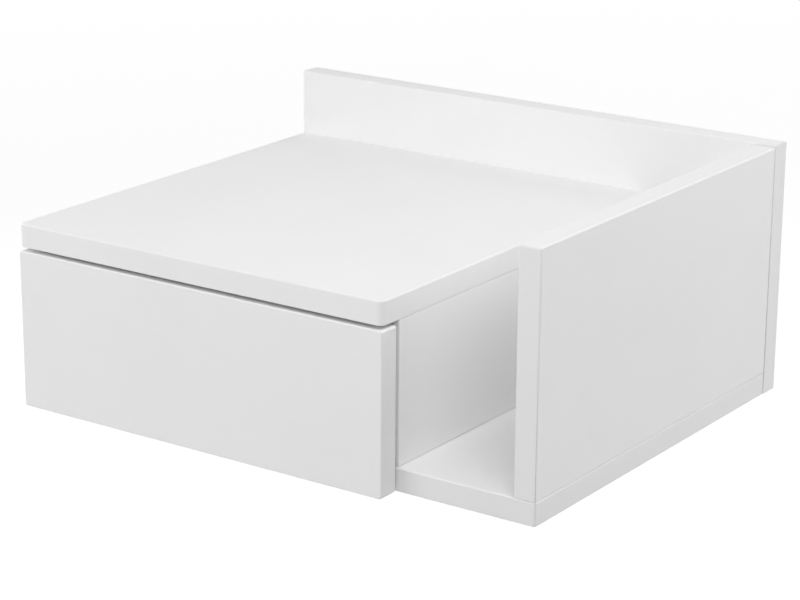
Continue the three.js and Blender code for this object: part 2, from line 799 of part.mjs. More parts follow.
// The six lacquered boards of the carcass, drilled for what joins them.
function carcass(runners) {
  const fromBelow = bottomScrews();
  const fromBehind = backScrews();
  const hung = hangers();
  const camRows = { front: carcassFront + camFrontInset, rear: carcassRear - camRearInset };
  const camsOf = (panel, faceX, into) =>
    Object.entries(camRows).map(([row, y]) => camLock(`${panel}_${row}`, faceX, y, into));
  const leftCams = camsOf("left", bayLeft, toLeft);
  const dividerCams = camsOf("divider", bayRight, toRight);
  const camHoles = (locks) => locks.flatMap(({ cam, bolt }) => [cam.hole, bolt.hole]);
  const boltHoles = [...leftCams, ...dividerCams].map(({ bolt }) => bolt.hole);
  const [leftScrews, dividerScrews, rightScrews] = fromBelow;

  const back = easedBoard(
    "back_panel",
    corner3(leftEdge, backFace, 0),
    corner3(rightEdge, wallPlane, unitHeight),
    "y",
    carcassFinish,
  );
  const bottom = easedBoard(
    "bottom_panel",
    corner3(leftEdge, carcassFront, 0),
    corner3(rightEdge, carcassRear, bottomTop),
    "z",
    carcassFinish,
  );
  const top = easedBoard(
    "top_panel",
    corner3(leftEdge, frontPlane, topUnderside),
    corner3(dividerRight, carcassRear, topSurfaceHeight),
    "z",
    frontFinish,
  );
  const left = easedBoard(
    "left_side_panel",
    corner3(leftEdge, carcassFront, bottomTop + seam),
    corner3(bayLeft, carcassRear, topUnderside - seam),
    "x",
    carcassFinish,
  );
  const divider = easedBoard(
    "divider_panel",
    corner3(bayRight, carcassFront, bottomTop + seam),
    corner3(dividerRight, carcassRear, topUnderside - seam),
    "x",
    carcassFinish,
  );
  const right = easedBoard(
    "right_side_panel",
    corner3(rightEdge - boardThickness, carcassFront, bottomTop + seam),
    corner3(rightEdge, carcassRear, unitHeight - sideTopDrop),
    "x",
    carcassFinish,
  );

  cut(back, [...Object.values(fromBehind).flatMap(holesOf), ...holesOf(hung.screws), ...hung.recesses]);
  cut(bottom, [...fromBelow.flatMap(holesOf), ...holesOf(fromBehind.bottom)]);
  cut(top, [...holesOf(fromBehind.top), ...boltHoles]);
  cut(left, [...holesOf(leftScrews), ...camHoles(leftCams), ...runners.left.cabinet.holes]);
  cut(divider, [...holesOf(dividerScrews), ...camHoles(dividerCams), ...runners.right.cabinet.holes]);
  cut(right, [...holesOf(rightScrews), ...holesOf(fromBehind.side)]);

  const group = new THREE.Group();
  group.add(back, bottom, top, left, divider, right);
  group.add(...fromBelow.flatMap(meshesOf), ...Object.values(fromBehind).flatMap(meshesOf));
  group.add(...hung.plates, ...meshesOf(hung.screws));
  group.add(...[...leftCams, ...dividerCams].flatMap(({ cam, bolt }) => [cam.mesh, bolt.mesh]));
  group.add(bumper("bumper_left", leftEdge + boardThickness / 2));
  group.add(bumper("bumper_right", dividerRight - boardThickness / 2));
  group.add(...runners.left.cabinet.meshes, ...runners.right.cabinet.meshes);
  return group;
}

// The drawer: a lacquered front on a grooved box, with its rails under the sides.
function drawer(runners) {
  const front = easedBoard(
    "drawer_front",
    corner3(leftEdge, frontPlane, 0),
    corner3(dividerRight - frontSideGap, boxFront, topUnderside - frontTopGap),
    "y",
    frontFinish,
  );
  const tongueFront = boxFront - tongueLength;
  const sides = {
    left: { low: boxLeft, inner: boxLeft + boxThickness, hand: 1 },
    right: { low: boxRight - boxThickness, inner: boxRight - boxThickness, hand: -1 },
  };
  const backFront = boxRear - boxThickness - grooveDepth;
  const backRear = boxRear - grooveDepth;
  const bottomGroove = slab(
    corner3(
      boxLeft + boxThickness - grooveDepth,
      tongueFront - fitClearance,
      bottomLow - fitClearance,
    ),
    corner3(boxRight - boxThickness + grooveDepth, boxRear + overrun, bottomHigh + fitClearance),
  );
  const backHousing = slab(
    corner3(
      boxLeft + boxThickness - grooveDepth,
      backFront - fitClearance,
      bottomLow - fitClearance,
    ),
    corner3(boxRight - boxThickness + grooveDepth, backRear + fitClearance, boxTop + overrun),
  );
  const frontGrooves = [bottomGroove];
  const meshes = [];
  for (const [side, { low, inner, hand }] of Object.entries(sides)) {
    const mesh = easedBoard(
      `drawer_side_${side}`,
      corner3(low, tongueFront, boxFloor),
      corner3(low + boxThickness, boxRear, boxTop),
      "x",
      boxFinish,
    );
    const tongueFace = inner - hand * tongueThickness;
    const beyond = tongueFace - hand * boxThickness;
    const shoulder = slab(
      corner3(Math.min(tongueFace, beyond), tongueFront - overrun, boxFloor - overrun),
      corner3(Math.max(tongueFace, beyond), boxFront + seam, boxTop + overrun),
    );
    const tongueLow = corner3(Math.min(tongueFace, inner), tongueFront, boxFloor);
    const tongueHigh = corner3(Math.max(tongueFace, inner), boxFront + overrun, boxTop);
    frontGrooves.push(slab(tongueLow.subScalar(fitClearance), tongueHigh.addScalar(fitClearance)));
    meshes.push(cut(mesh, [bottomGroove, backHousing, shoulder, ...runners[side].drawer.holes]));
  }
  const grooveLeft = boxLeft + boxThickness - grooveDepth + fitClearance;
  const grooveRight = boxRight - boxThickness + grooveDepth - fitClearance;
  const back = easedBoard(
    "drawer_back",
    corner3(grooveLeft, backFront, bottomHigh + fitClearance),
    corner3(grooveRight, backRear, boxTop),
    "y",
    boxFinish,
  );
  const bottom = easedBoard(
    "drawer_bottom",
    corner3(grooveLeft, tongueFront, bottomLow),
    corner3(grooveRight, boxRear, bottomHigh),
    "z",
    hardboardFinish,
  );
  cut(front, frontGrooves);

  const group = new THREE.Group();
  group.add(front, ...meshes, back, bottom);
  group.add(...runners.left.drawer.meshes, ...runners.right.drawer.meshes);
  return group;
}

const runners = { left: runner("left"), right: runner("right") };
const nightstand = new THREE.Group();
const unit = new THREE.Group();
unit.add(carcass(runners), drawer(runners));
unit.position.z = -hangerLineHeight;
nightstand.add(unit);

export default nightstand;
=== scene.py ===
"""The finished surfaces of a wall-hung nightstand: lacquered boards, a drawer on runners and fittings.

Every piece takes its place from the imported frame. Lengths are metres. X runs to the right, Y into the wall
and Z up.
"""

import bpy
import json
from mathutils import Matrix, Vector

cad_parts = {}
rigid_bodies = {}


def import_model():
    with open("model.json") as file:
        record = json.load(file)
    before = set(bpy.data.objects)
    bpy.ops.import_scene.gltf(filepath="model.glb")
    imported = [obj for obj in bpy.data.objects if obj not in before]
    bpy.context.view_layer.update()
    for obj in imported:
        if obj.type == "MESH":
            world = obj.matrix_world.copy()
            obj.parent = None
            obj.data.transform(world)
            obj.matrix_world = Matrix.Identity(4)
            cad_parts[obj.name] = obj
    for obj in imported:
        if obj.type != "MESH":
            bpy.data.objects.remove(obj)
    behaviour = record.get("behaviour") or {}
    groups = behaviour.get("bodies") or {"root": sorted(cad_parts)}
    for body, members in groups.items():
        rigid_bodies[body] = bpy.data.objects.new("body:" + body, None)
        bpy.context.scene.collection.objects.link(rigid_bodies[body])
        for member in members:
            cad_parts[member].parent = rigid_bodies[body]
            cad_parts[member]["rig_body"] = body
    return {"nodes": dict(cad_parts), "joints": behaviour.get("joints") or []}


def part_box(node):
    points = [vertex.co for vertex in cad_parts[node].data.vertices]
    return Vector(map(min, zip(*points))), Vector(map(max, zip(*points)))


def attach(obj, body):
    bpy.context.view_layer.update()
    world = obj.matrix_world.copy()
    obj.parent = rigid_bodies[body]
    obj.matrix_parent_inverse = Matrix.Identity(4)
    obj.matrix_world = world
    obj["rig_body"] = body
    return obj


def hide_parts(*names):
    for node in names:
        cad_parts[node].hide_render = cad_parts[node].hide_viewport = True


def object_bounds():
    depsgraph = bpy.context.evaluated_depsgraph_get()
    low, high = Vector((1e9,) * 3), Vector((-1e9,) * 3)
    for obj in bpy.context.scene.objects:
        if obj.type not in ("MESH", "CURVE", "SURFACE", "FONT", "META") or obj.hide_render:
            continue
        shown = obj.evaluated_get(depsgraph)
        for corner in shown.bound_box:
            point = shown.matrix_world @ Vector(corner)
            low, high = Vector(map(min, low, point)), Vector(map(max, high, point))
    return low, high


bl_info = {
    "name": "Wall-hung nightstand",
    "version": (1, 0, 0),
    "blender": (4, 5, 0),
    "location": "3D View > Sidebar > Nightstand",
    "description": "Builds the boards, drawer, runners and fittings of a wall-hung nightstand",
    "category": "Add Mesh",
}

import json
import math

import bmesh
import bpy
import numpy as np
from bpy.props import FloatProperty, FloatVectorProperty, IntProperty, PointerProperty
from mathutils import Matrix, Vector

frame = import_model()
cad_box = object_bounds()

MM = 0.001
AXES = "xyz"
SIDES = ("left", "right")
ROWS = ("front", "rear")

# How far a cutter reaches past what it cuts
OVER = 2 * MM

# Facets round the cam locks, round the holes of fasteners and round a rail's spare holes
CAM_SIDES, HOLE_SIDES, SPARE_SIDES = 64, 40, 32

# The ways that fasteners are driven
UP, DOWN, TO_FRONT = (0, 0, 1), (0, 0, -1), (0, -1, 0)
TO_LEFT, TO_RIGHT = (-1, 0, 0), (1, 0, 0)
OUTWARD = {"left": TO_LEFT, "right": TO_RIGHT}
INWARD = {"left": TO_RIGHT, "right": TO_LEFT}


def length(name, description, millimetres):
    """A length property, shown in the scene's unit and kept in metres."""
    return FloatProperty(
        name=name, description=description, default=millimetres * MM, min=0, unit="LENGTH", precision=5
    )


def factor(name, description, default):
    """A property between 0 and 1."""
    return FloatProperty(
        name=name, description=description, default=default, min=0, max=1, subtype="FACTOR"
    )


def power(name, description, default):
    """A lamp's power in watts."""
    return FloatProperty(name=name, description=description, default=default, min=0, unit="POWER")


def colour(name, description, default):
    """A linear colour property."""
    return FloatVectorProperty(
        name=name, description=description, default=default, size=3, min=0, max=1, subtype="COLOR"
    )


class BoardSettings(bpy.types.PropertyGroup):
    """How the boards' edges are worked."""

    carcass_ease: length("Carcass edge", "Radius that the carcass boards' edges are rounded to", 1.1)
    carcass_corner: length("Carcass corner", "Radius of the carcass boards' corners", 1.6)
    top_ease: length("Top edge", "Radius that the top's upper edges are rounded to", 1.2)
    top_lower_ease: length("Top lower edge", "Radius that the top's lower edges are rounded to", 0.5)
    top_corner: length("Top corner", "Radius of the top's corners, seen from above", 4.5)
    front_ease: length("Front edge", "Radius that the drawer front's edges are rounded to", 1.0)
    front_corner: length("Front corner", "Radius of the drawer front's corners", 1.8)
    butt_ease: length("Butt edge", "Radius where a board meets another or hides behind the front", 0.12)
    back_crack: length("Back crack", "How far the boards stop short of the back, for a dark line", 0.7)
    front_crack: length("Front crack", "How far the uprights stop short behind the drawer front", 0.8)
    tight: length("Tight joint", "How far a board is let out so that a joint hardly shows", 0.15)
    front_rise: length("Front rise", "How far the drawer front is let out above", 1.3)
    front_overlap: length("Front overlap", "How far the drawer front is let out at its right end", 0.8)
    box_ease: length("Drawer box edge", "Radius that the drawer box's edges are rounded to", 0.8)
    box_corner: length("Drawer box corner", "Radius of the drawer box boards' corners", 1.0)
    hardboard_ease: length("Hardboard edge", "Radius of the drawer bottom's edges", 0.2)
    tongue: length("Tongue", "Length and thickness of the tongues on the drawer sides", 6.0)
    edge_steps: IntProperty(name="Edge steps", description="Facets across a rounded edge", default=8, min=2)


class FinishSettings(bpy.types.PropertyGroup):
    """Colours and gloss of the finishes."""

    lacquer: colour("Lacquer", "Satin white lacquer on the boards", (0.9, 0.9, 0.9))
    lacquer_roughness: factor("Lacquer roughness", "Roughness of the lacquer", 0.36)
    # Painted shade: how dark some carcass boards' narrow edges are painted against their faces
    painted_edge_shade: factor("Edge shade", "Brightness of narrow edges as a share of the faces' own", 0.96)
    raw_board: colour("Raw board", "Fibre of a board where it is drilled or routed", (0.46, 0.33, 0.21))
    melamine: colour("Melamine", "White facing of the drawer box boards", (0.78, 0.78, 0.76))
    hardboard: colour("Hardboard", "Bare side of the drawer's hardboard bottom", (0.29, 0.18, 0.10))
    powder_coat: colour("Powder coat", "White epoxy coat on the runners", (0.76, 0.765, 0.75))
    nylon: colour("Nylon", "Moulded rollers", (0.62, 0.61, 0.56))
    zinc: colour("Zinc", "Bright zinc plate on the fasteners and hanger plates", (0.60, 0.61, 0.63))
    silicone: colour("Silicone", "Soft pads behind the drawer front", (0.78, 0.80, 0.80))


class FittingSettings(bpy.types.PropertyGroup):
    """Sizes of the sheet steel and the fasteners."""

    steel: length("Runner steel", "Thickness of the runners' sheet steel", 1.2)
    bend: length("Bend radius", "Inner radius of the runners' bends", 0.8)
    steel_edge: length("Steel edge", "Radius that the coat rounds the steel's edges to", 0.3)
    seam: length("Seam", "Gap between a rail and what it is screwed to", 0.2)
    flange_reach: length("Flange reach", "Width of the flange that runs on the front roller", 8.6)
    cutaway: length("Cutaway", "How far ahead of the rear pin the running flange is cut away", 12.0)
    stop_height: length("Stop height", "Height of the stop pressed up from a cabinet rail", 2.0)
    stop_length: length("Stop length", "Length of the stop's ramp", 5.0)
    hole_pitch: length("Hole pitch", "Spacing of the holes along a cabinet rail", 32.0)
    spare_hole: length("Spare hole", "Radius of a rail's spare fixing holes", 2.2)
    clearance: length("Hole clearance", "Gap between a fastener and its hole", 0.25)
    pin_radius: length("Pin radius", "Radius of a roller pin's shank", 2.5)
    hex_key: length("Hex socket", "Width across the flats of a connector screw's socket", 4.0)
    turned_sides: IntProperty(
        name="Turned sides", description="Facets round a turned piece", default=48, min=12
    )


class StageSettings(bpy.types.PropertyGroup):
    """Camera, floor and lamps."""

    lens: FloatProperty(
        name="Lens", description="Focal length on a 36 mm sensor", default=116.1, unit="CAMERA"
    )
    floor: colour("Floor", "The plain pale floor", (0.8, 0.8, 0.8))
    floor_drop: length("Floor drop", "Height of the object's underside over the floor", 450.0)
    floor_lift: factor("Floor lift", "White that the far floor adds for the camera, to stay clean", 0.94)
    floor_dip: factor("Floor dip", "How much less white the floor adds under the object", 0.56)
    ambient: factor("Ambient", "Strength of the even light from all round", 0.1)
    left: power("Left lamp", "Power of the low lamp at the left", 8.8)
    front: power("Front lamp", "Power of the low lamp at the front", 8.0)
    high: power("High lamp", "Power of the high lamp at the front right", 13.0)
    rear: power("Rear lamp", "Power of the lamp behind the right end", 12.1)


SETTINGS = {
    "nightstand_boards": BoardSettings,
    "nightstand_finishes": FinishSettings,
    "nightstand_fittings": FittingSettings,
    "nightstand_stage": StageSettings,
}


class Value:
    """A socket that Python's operators combine with others or with numbers, by adding Math nodes to its
    tree."""

    def __init__(self, recipe, socket):
        self.recipe = recipe
        self.socket = socket

    def math(self, operation, *values):
        """A Math node on some values."""
        return self.recipe.node("ShaderNodeMath", {"operation": operation}, dict(enumerate(values)))

    def __add__(self, other):
        return self.math("ADD", self, other)

    def __sub__(self, other):
        return self.math("SUBTRACT", self, other)

    def __rsub__(self, other):
        return self.math("SUBTRACT", other, self)

    def __mul__(self, other):
        return self.math("MULTIPLY", self, other)

    def __pow__(self, other):
        return self.math("POWER", self, other)

    def __rpow__(self, other):
        return self.math("POWER", other, self)

    def __abs__(self):
        return self.math("ABSOLUTE", self)

    __radd__ = __add__
    __rmul__ = __mul__

    def least(self, other):
        """The lower of this value and another."""
        return self.math("MINIMUM", self, other)

    def most(self, other):
        """The higher of this value and another."""
        return self.math("MAXIMUM", self, other)

    def sine(self):
        """The sine of this value, taken as an angle in radians."""
        return self.math("SINE", self)

    def between(self, start, end):
        """0 below start, 1 above end and smooth in between."""
        values = {"Value": self, "From Min": start, "From Max": end}
        return self.recipe.node("ShaderNodeMapRange", {"interpolation_type": "SMOOTHSTEP"}, values)


class Recipe:
    """The node tree of a material or a world."""

    def __init__(self, owner):
        owner.use_nodes = True
        self.owner = owner
        self.tree = owner.node_tree
        self.tree.nodes.clear()

    def node(self, kind, settings=None, values=None, output=0):
        """A node of a kind, with its settings made first and then its sockets given values or links."""
        made = self.tree.nodes.new(kind)
        for key, setting in (settings or {}).items():
            setattr(made, key, setting)
        for key, value in (values or {}).items():
            if isinstance(value, Value):
                self.tree.links.new(value.socket, made.inputs[key])
            else:
                made.inputs[key].default_value = value
        return Value(self, made.outputs[output] if made.outputs else None)

    def mix_shaders(self, amount, first, second):
        """From the first shader to the second as the amount goes from 0 to 1."""
        return self.node("ShaderNodeMixShader", values={"Fac": amount, 1: first, 2: second})


# The places of a Mix node's colour sockets, because those for numbers and for vectors have the same names
MIX_FIRST, MIX_SECOND, MIX_RESULT = 6, 7, 2


class Finish(Recipe):
    """A material whose patterns lie on the piece's own coordinates."""

    def __init__(self, name):
        super().__init__(bpy.data.materials.new(name))
        self.place = self.node("ShaderNodeTexCoord", output="Object")

    def axes(self, vector=None):
        """The three numbers of a vector, by default of the place on the piece."""
        split = self.node("ShaderNodeSeparateXYZ", values={0: vector or self.place})
        return [Value(self, output) for output in split.socket.node.outputs]

    def facing(self):
        """The surface's own direction, as three numbers."""
        return self.axes(self.node("ShaderNodeTexCoord", output="Normal"))

    def mix(self, amount, first, second):
        """From the first colour to the second as the amount goes from 0 to 1."""
        first, second = [(*end[:3], 1) if isinstance(end, tuple) else end for end in (first, second)]
        values = {"Factor": amount, MIX_FIRST: first, MIX_SECOND: second}
        return self.node("ShaderNodeMix", {"data_type": "RGBA"}, values, output=MIX_RESULT)

    def stretched(self, scale):
        """The place on the piece with each axis scaled, for a pattern that runs one way."""
        return self.node("ShaderNodeMapping", values={"Vector": self.place, "Scale": scale})

    def noise(self, size, detail=2.0, vector=None):
        """Soft noise from 0 to 1 whose lumps are about one size."""
        values = {"Vector": vector or self.place, "Scale": 1 / size, "Detail": detail}
        return self.node("ShaderNodeTexNoise", values=values)

    def cells(self, size, vector=None, output="Distance"):
        """Cells of about one size: how far a point is from its cell's middle, in cells, or the cell's
        colour."""
        values = {"Vector": vector or self.place, "Scale": 1 / size}
        return self.node("ShaderNodeTexVoronoi", values=values, output=output)

    def bump(self, height, depth):
        """A normal for a relief whose height of 0 to 1 stands for a depth."""
        return self.node("ShaderNodeBump", values={"Height": height, "Distance": depth, "Strength": 1.0})

    def done(self, **sockets):
        """Closes the material with a principled shader. Its sockets are named by words joined by
        underscores."""
        values = {
            key.replace("_", " ").title().replace("Ior", "IOR"): value for key, value in sockets.items()
        }
        shader = self.node("ShaderNodeBsdfPrincipled", values=values)
        self.node("ShaderNodeOutputMaterial", values={"Surface": shader})
        return self.owner


def shade(base, share):
    """A colour made lighter or darker by a share."""
    return tuple(min(1.0, channel * share) for channel in base)


def edge_gap(made, box):
    """How far a point on a board lies from its nearest edge: the middle one of its gaps to the three
    pairs of faces, because the least of them is the gap to the face that it is on."""
    low, high = box
    x, y, z = [
        (high[axis] - low[axis]) / 2 - abs(place - (high[axis] + low[axis]) / 2)
        for axis, place in enumerate(made.axes())
    ]
    return x.least(y).most(x.most(y).least(z))


def lacquer_finish(name, box, settings, thin, painted_edge_shade, bare_shaded_rear):
    """Satin white lacquer: faint clouding, fine orange peel, a few nibs, and fibre that telegraphs at the
    edges. The narrow edges across the thin axis get a painted shade: their colour is darkened to a share
    of the faces'. A board whose rear edge is hidden has raw board colour there, partly as a bare edge and
    partly as painted shade that darkens the crack at the back."""
    made = Finish(name)
    base = tuple(settings.lacquer)
    cloud = made.noise(70 * MM, 3.0)
    mottle = made.noise(9 * MM, 2.0)
    peel = made.noise(1.3 * MM, 2.0)
    fibre = made.noise(0.35 * MM, 3.0)
    arris = 1 - edge_gap(made, box).between(0.2 * MM, 1.8 * MM)
    worn = arris * made.noise(4 * MM, 3.0).between(0.45, 0.75)
    tone = made.mix(cloud.between(0.3, 0.7), shade(base, 0.992), shade(base, 1.006))
    tone = made.mix(mottle.between(0.35, 0.7) * 0.35, tone, shade(base, 1.012))
    tone = made.mix(worn * 0.12, tone, (base[0] * 0.93, base[1] * 0.9, base[2] * 0.84))
    facing = made.facing()
    # Painted shade: the narrow edges across the thin axis are darkened to a share of the face colour
    if painted_edge_shade < 1:
        flat = abs(facing[AXES.index(thin)]).between(0.5, 0.9)
        tone = made.mix(flat, shade(base, painted_edge_shade), tone)
    # Raw board colour on a butting rear edge: partly a bare edge, partly painted shade that darkens the
    # crack at the back
    if bare_shaded_rear:
        tone = made.mix(facing[1].between(0.9, 0.99), tone, tuple(settings.raw_board))
    nibs = 1 - made.cells(23 * MM).between(0.006, 0.014)
    height = peel * 0.6 + fibre * (0.1 + arris * 0.35) + nibs * 0.8
    return made.done(
        base_color=tone,
        roughness=settings.lacquer_roughness + cloud * 0.05 - 0.025 + fibre * 0.05 + worn * 0.12,
        normal=made.bump(height, 0.02 * MM),
        ior=1.28,
        coat_weight=0.05,
        coat_roughness=0.18,
    )


def raw_board_finish(settings):
    """Bare board where it is drilled or routed: brown felted fibre with darker and paler strands."""
    made = Finish("raw_board")
    base = tuple(settings.raw_board)
    strands = made.noise(0.5 * MM, 6.0, made.stretched((1, 1, 3)))
    flecks = made.cells(0.6 * MM)
    tone = made.mix(strands.between(0.3, 0.7), shade(base, 0.72), shade(base, 1.3))
    tone = made.mix(flecks.between(0.3, 0.8) * 0.3, tone, shade(base, 1.5))
    return made.done(base_color=tone, roughness=0.9, normal=made.bump(strands + flecks, 0.12 * MM))


def zinc_finish(settings):
    """Bright zinc plate: a slightly clouded metal with fine scratches and duller spots."""
    made = Finish("zinc_plate")
    base = tuple(settings.zinc)
    cloud = made.noise(2.2 * MM, 4.0)
    scratch = made.noise(0.25 * MM, 3.0, made.stretched((1, 9, 4)))
    spots = made.cells(1.6 * MM).between(0.25, 0.55)
    tone = made.mix(cloud.between(0.35, 0.65), (base[0], base[1], base[2] * 0.94), shade(base, 1.12))
    return made.done(
        base_color=made.mix(spots * 0.25, tone, shade(base, 0.85)),
        metallic=1.0,
        roughness=0.24 + cloud * 0.16 + scratch * 0.12,
        normal=made.bump(scratch + cloud * 0.5, 0.01 * MM),
    )


def powder_coat_finish(settings):
    """White epoxy coat on the runners: a fine pebbled skin, rubbed grey in streaks where the rollers
    run."""
    made = Finish("powder_coat")
    base = tuple(settings.powder_coat)
    pebble = made.noise(0.8 * MM, 2.0)
    cloud = made.noise(30 * MM, 3.0)
    rub = made.noise(1.5 * MM, 4.0, made.stretched((1, 0.06, 1))).between(0.5, 0.66)
    level = abs(made.facing()[2]).between(0.7, 0.95)
    tone = made.mix(cloud, shade(base, 0.97), shade(base, 1.02))
    return made.done(
        base_color=made.mix(rub * level * 0.12, tone, (0.42, 0.42, 0.42)),
        roughness=0.34 + pebble * 0.08 - rub * level * 0.08,
        normal=made.bump(pebble, 0.03 * MM),
        coat_weight=0.1,
    )


def nylon_finish(name, box, settings):
    """Moulded nylon: milky, with faint rings from the mould and a greyed line round the middle of the
    tread."""
    made = Finish(name)
    base = tuple(settings.nylon)
    centre, radius = (box[0] + box[1]) / 2, (box[1].z - box[0].z) / 2
    x, y, z = made.axes()
    across = ((y - centre.y) ** 2 + (z - centre.z) ** 2) ** 0.5
    rings = (across * (2 * math.pi / (0.35 * MM))).sine() * 0.5 + 0.5
    tread = across.between(0.94 * radius, 0.985 * radius)
    line = tread * (1 - abs(x - centre.x).between(0.5 * MM, 1.3 * MM))
    milk = made.noise(2.5 * MM, 3.0)
    tone = made.mix(milk, shade(base, 0.95), shade(base, 1.08))
    return made.done(
        base_color=made.mix(line * milk.between(0.25, 0.6) * 0.5, tone, (0.33, 0.33, 0.32)),
        roughness=0.42 + milk * 0.12,
        normal=made.bump(rings * 0.4 + milk, 0.012 * MM),
    )


def silicone_finish(settings):
    """Soft clear silicone, cloudy with a fine matt skin."""
    made = Finish("silicone")
    base = tuple(settings.silicone)
    cloud = made.noise(1.5 * MM, 3.0)
    return made.done(
        base_color=made.mix(cloud, shade(base, 0.95), shade(base, 1.05)),
        roughness=0.3 + cloud * 0.15,
        normal=made.bump(cloud, 0.01 * MM),
        transmission_weight=0.55,
        ior=1.41,
    )


def melamine_finish(name, box, settings):
    """White melamine on particle board: a fine pebble, a hairline under the banded top edge, and the
    board's own chips on the underside, which has no facing."""
    made = Finish(name)
    base = tuple(settings.melamine)
    pebble = made.noise(0.45 * MM, 2.0)
    cloud = made.noise(50 * MM, 2.0)
    tone = made.mix(cloud, shade(base, 0.985), shade(base, 1.01))
    joint = 1 - abs(made.axes()[2] - (box[1].z - 0.6 * MM)).between(0.03 * MM, 0.12 * MM)
    slope = made.facing()[2]
    upright = 1 - abs(slope).between(0.2, 0.6)
    tone = made.mix(joint * upright * 0.45, tone, (0.35, 0.33, 0.30))
    bare = (0 - slope).between(0.6, 0.9)
    chip = made.axes(made.cells(1.4 * MM, made.stretched((1, 0.5, 1)), "Color"))[0]
    wood = made.mix(chip, (0.24, 0.15, 0.08), (0.52, 0.39, 0.25))
    rough = made.noise(0.9 * MM, 5.0)
    return made.done(
        base_color=made.mix(bare, tone, wood),
        roughness=0.42 + pebble * 0.1 + bare * 0.4,
        normal=made.bump(pebble * (1 - bare) + rough * bare * 3, 0.02 * MM),
    )


def hardboard_finish(settings):
    """Hardboard: a white face above, and below a brown side with the print of the press's wire mesh."""
    made = Finish("hardboard")
    base, white_base = tuple(settings.hardboard), tuple(settings.melamine)
    wires = [(axis * (2 * math.pi / (1.6 * MM))).sine() * 0.5 + 0.5 for axis in made.axes()[:2]]
    fibre = made.noise(1.2 * MM, 6.0)
    speck = made.noise(0.5 * MM, 3.0)
    below = (0 - made.facing()[2]).between(0.1, 0.4)
    brown = made.mix(fibre.between(0.3, 0.7), shade(base, 0.7), shade(base, 1.4))
    white = made.mix(speck, shade(white_base, 0.975), shade(white_base, 1.01))
    relief = wires[0] * wires[1] * below + fibre * 0.3 * below + speck * 0.12
    return made.done(
        base_color=made.mix(below, white, brown),
        roughness=0.45 + below * 0.4 + speck * 0.06,
        normal=made.bump(relief, 0.12 * MM),
    )


def quads_of(rows, columns, closed):
    """The quads of a grid: each point with its neighbours in the next row and column. Columns run round
    and close on themselves, and so do the rows of a closed grid."""
    row, column = np.meshgrid(np.arange(rows if closed else rows - 1), np.arange(columns), indexing="ij")
    next_row, next_column = (row + 1) % rows, (column + 1) % columns
    corners = (row, column), (row, next_column), (next_row, next_column), (next_row, column)
    return np.stack([down * columns + along for down, along in corners], -1).reshape(-1, 4)


# Points of a mesh that lie nearer to each other than this are one
MERGED_WITHIN = 0.0005 * MM


def mesh_of(name, grids, materials=(), closed=False):
    """A mesh of closed shells, each a grid of points whose rows are rings. A ring that is drawn together
    to one point becomes a pole, and the first and last rings are capped unless the grid is closed."""
    faces = []
    first = 0
    for grid in grids:
        rows, columns, _ = grid.shape
        faces += (quads_of(rows, columns, closed) + first).tolist()
        if not closed:
            faces.append([first + column for column in reversed(range(columns))])
            faces.append([first + (rows - 1) * columns + column for column in range(columns)])
        first += rows * columns
    mesh = bpy.data.meshes.new(name)
    mesh.from_pydata(np.concatenate([grid.reshape(-1, 3) for grid in grids]).tolist(), [], faces)
    shape = bmesh.new()
    shape.from_mesh(mesh)
    bmesh.ops.remove_doubles(shape, verts=shape.verts, dist=MERGED_WITHIN)
    bmesh.ops.recalc_face_normals(shape, faces=shape.faces)
    if shape.calc_volume(signed=True) < 0:
        bmesh.ops.reverse_faces(shape, faces=shape.faces)
    shape.to_mesh(mesh)
    shape.free()
    for finish in materials:
        mesh.materials.append(finish)
    return mesh


def object_of(mesh):
    """A new object in the scene that shows a mesh."""
    made = bpy.data.objects.new(mesh.name, mesh)
    bpy.context.scene.collection.objects.link(made)
    return made


def work(made, cutters, welds=()):
    """Joins closed meshes to an object and cuts others out of it. Cut faces take the cutter's
    material."""
    tools = [(object_of(mesh), "UNION") for mesh in welds]
    tools += [(object_of(mesh), "DIFFERENCE") for mesh in cutters]
    for tool, operation in tools:
        cut = made.modifiers.new(tool.name, "BOOLEAN")
        cut.operation = operation
        cut.solver = "MANIFOLD"
        cut.material_mode = "TRANSFER"
        cut.object = tool
    depsgraph = bpy.context.evaluated_depsgraph_get()
    result = bpy.data.meshes.new_from_object(made.evaluated_get(depsgraph))
    made.modifiers.clear()
    made.data = result
    for tool, _ in tools:
        bpy.data.meshes.remove(tool.data)
    return made


def place_piece(made, node, crease=31):
    """Smooths a piece between its creases, and puts it in place of its node on its body. The crease is in
    degrees."""
    if not len(made.data.polygons):
        raise RuntimeError(f"{made.name} has no faces")
    made.data.shade_smooth()
    made.data.set_sharp_from_angle(angle=math.radians(crease))
    flat = made.modifiers.new("flat_faces", "WEIGHTED_NORMAL")
    flat.keep_sharp = True
    flat.weight = 100
    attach(made, frame["nodes"][node]["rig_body"])
    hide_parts(node)
    return made


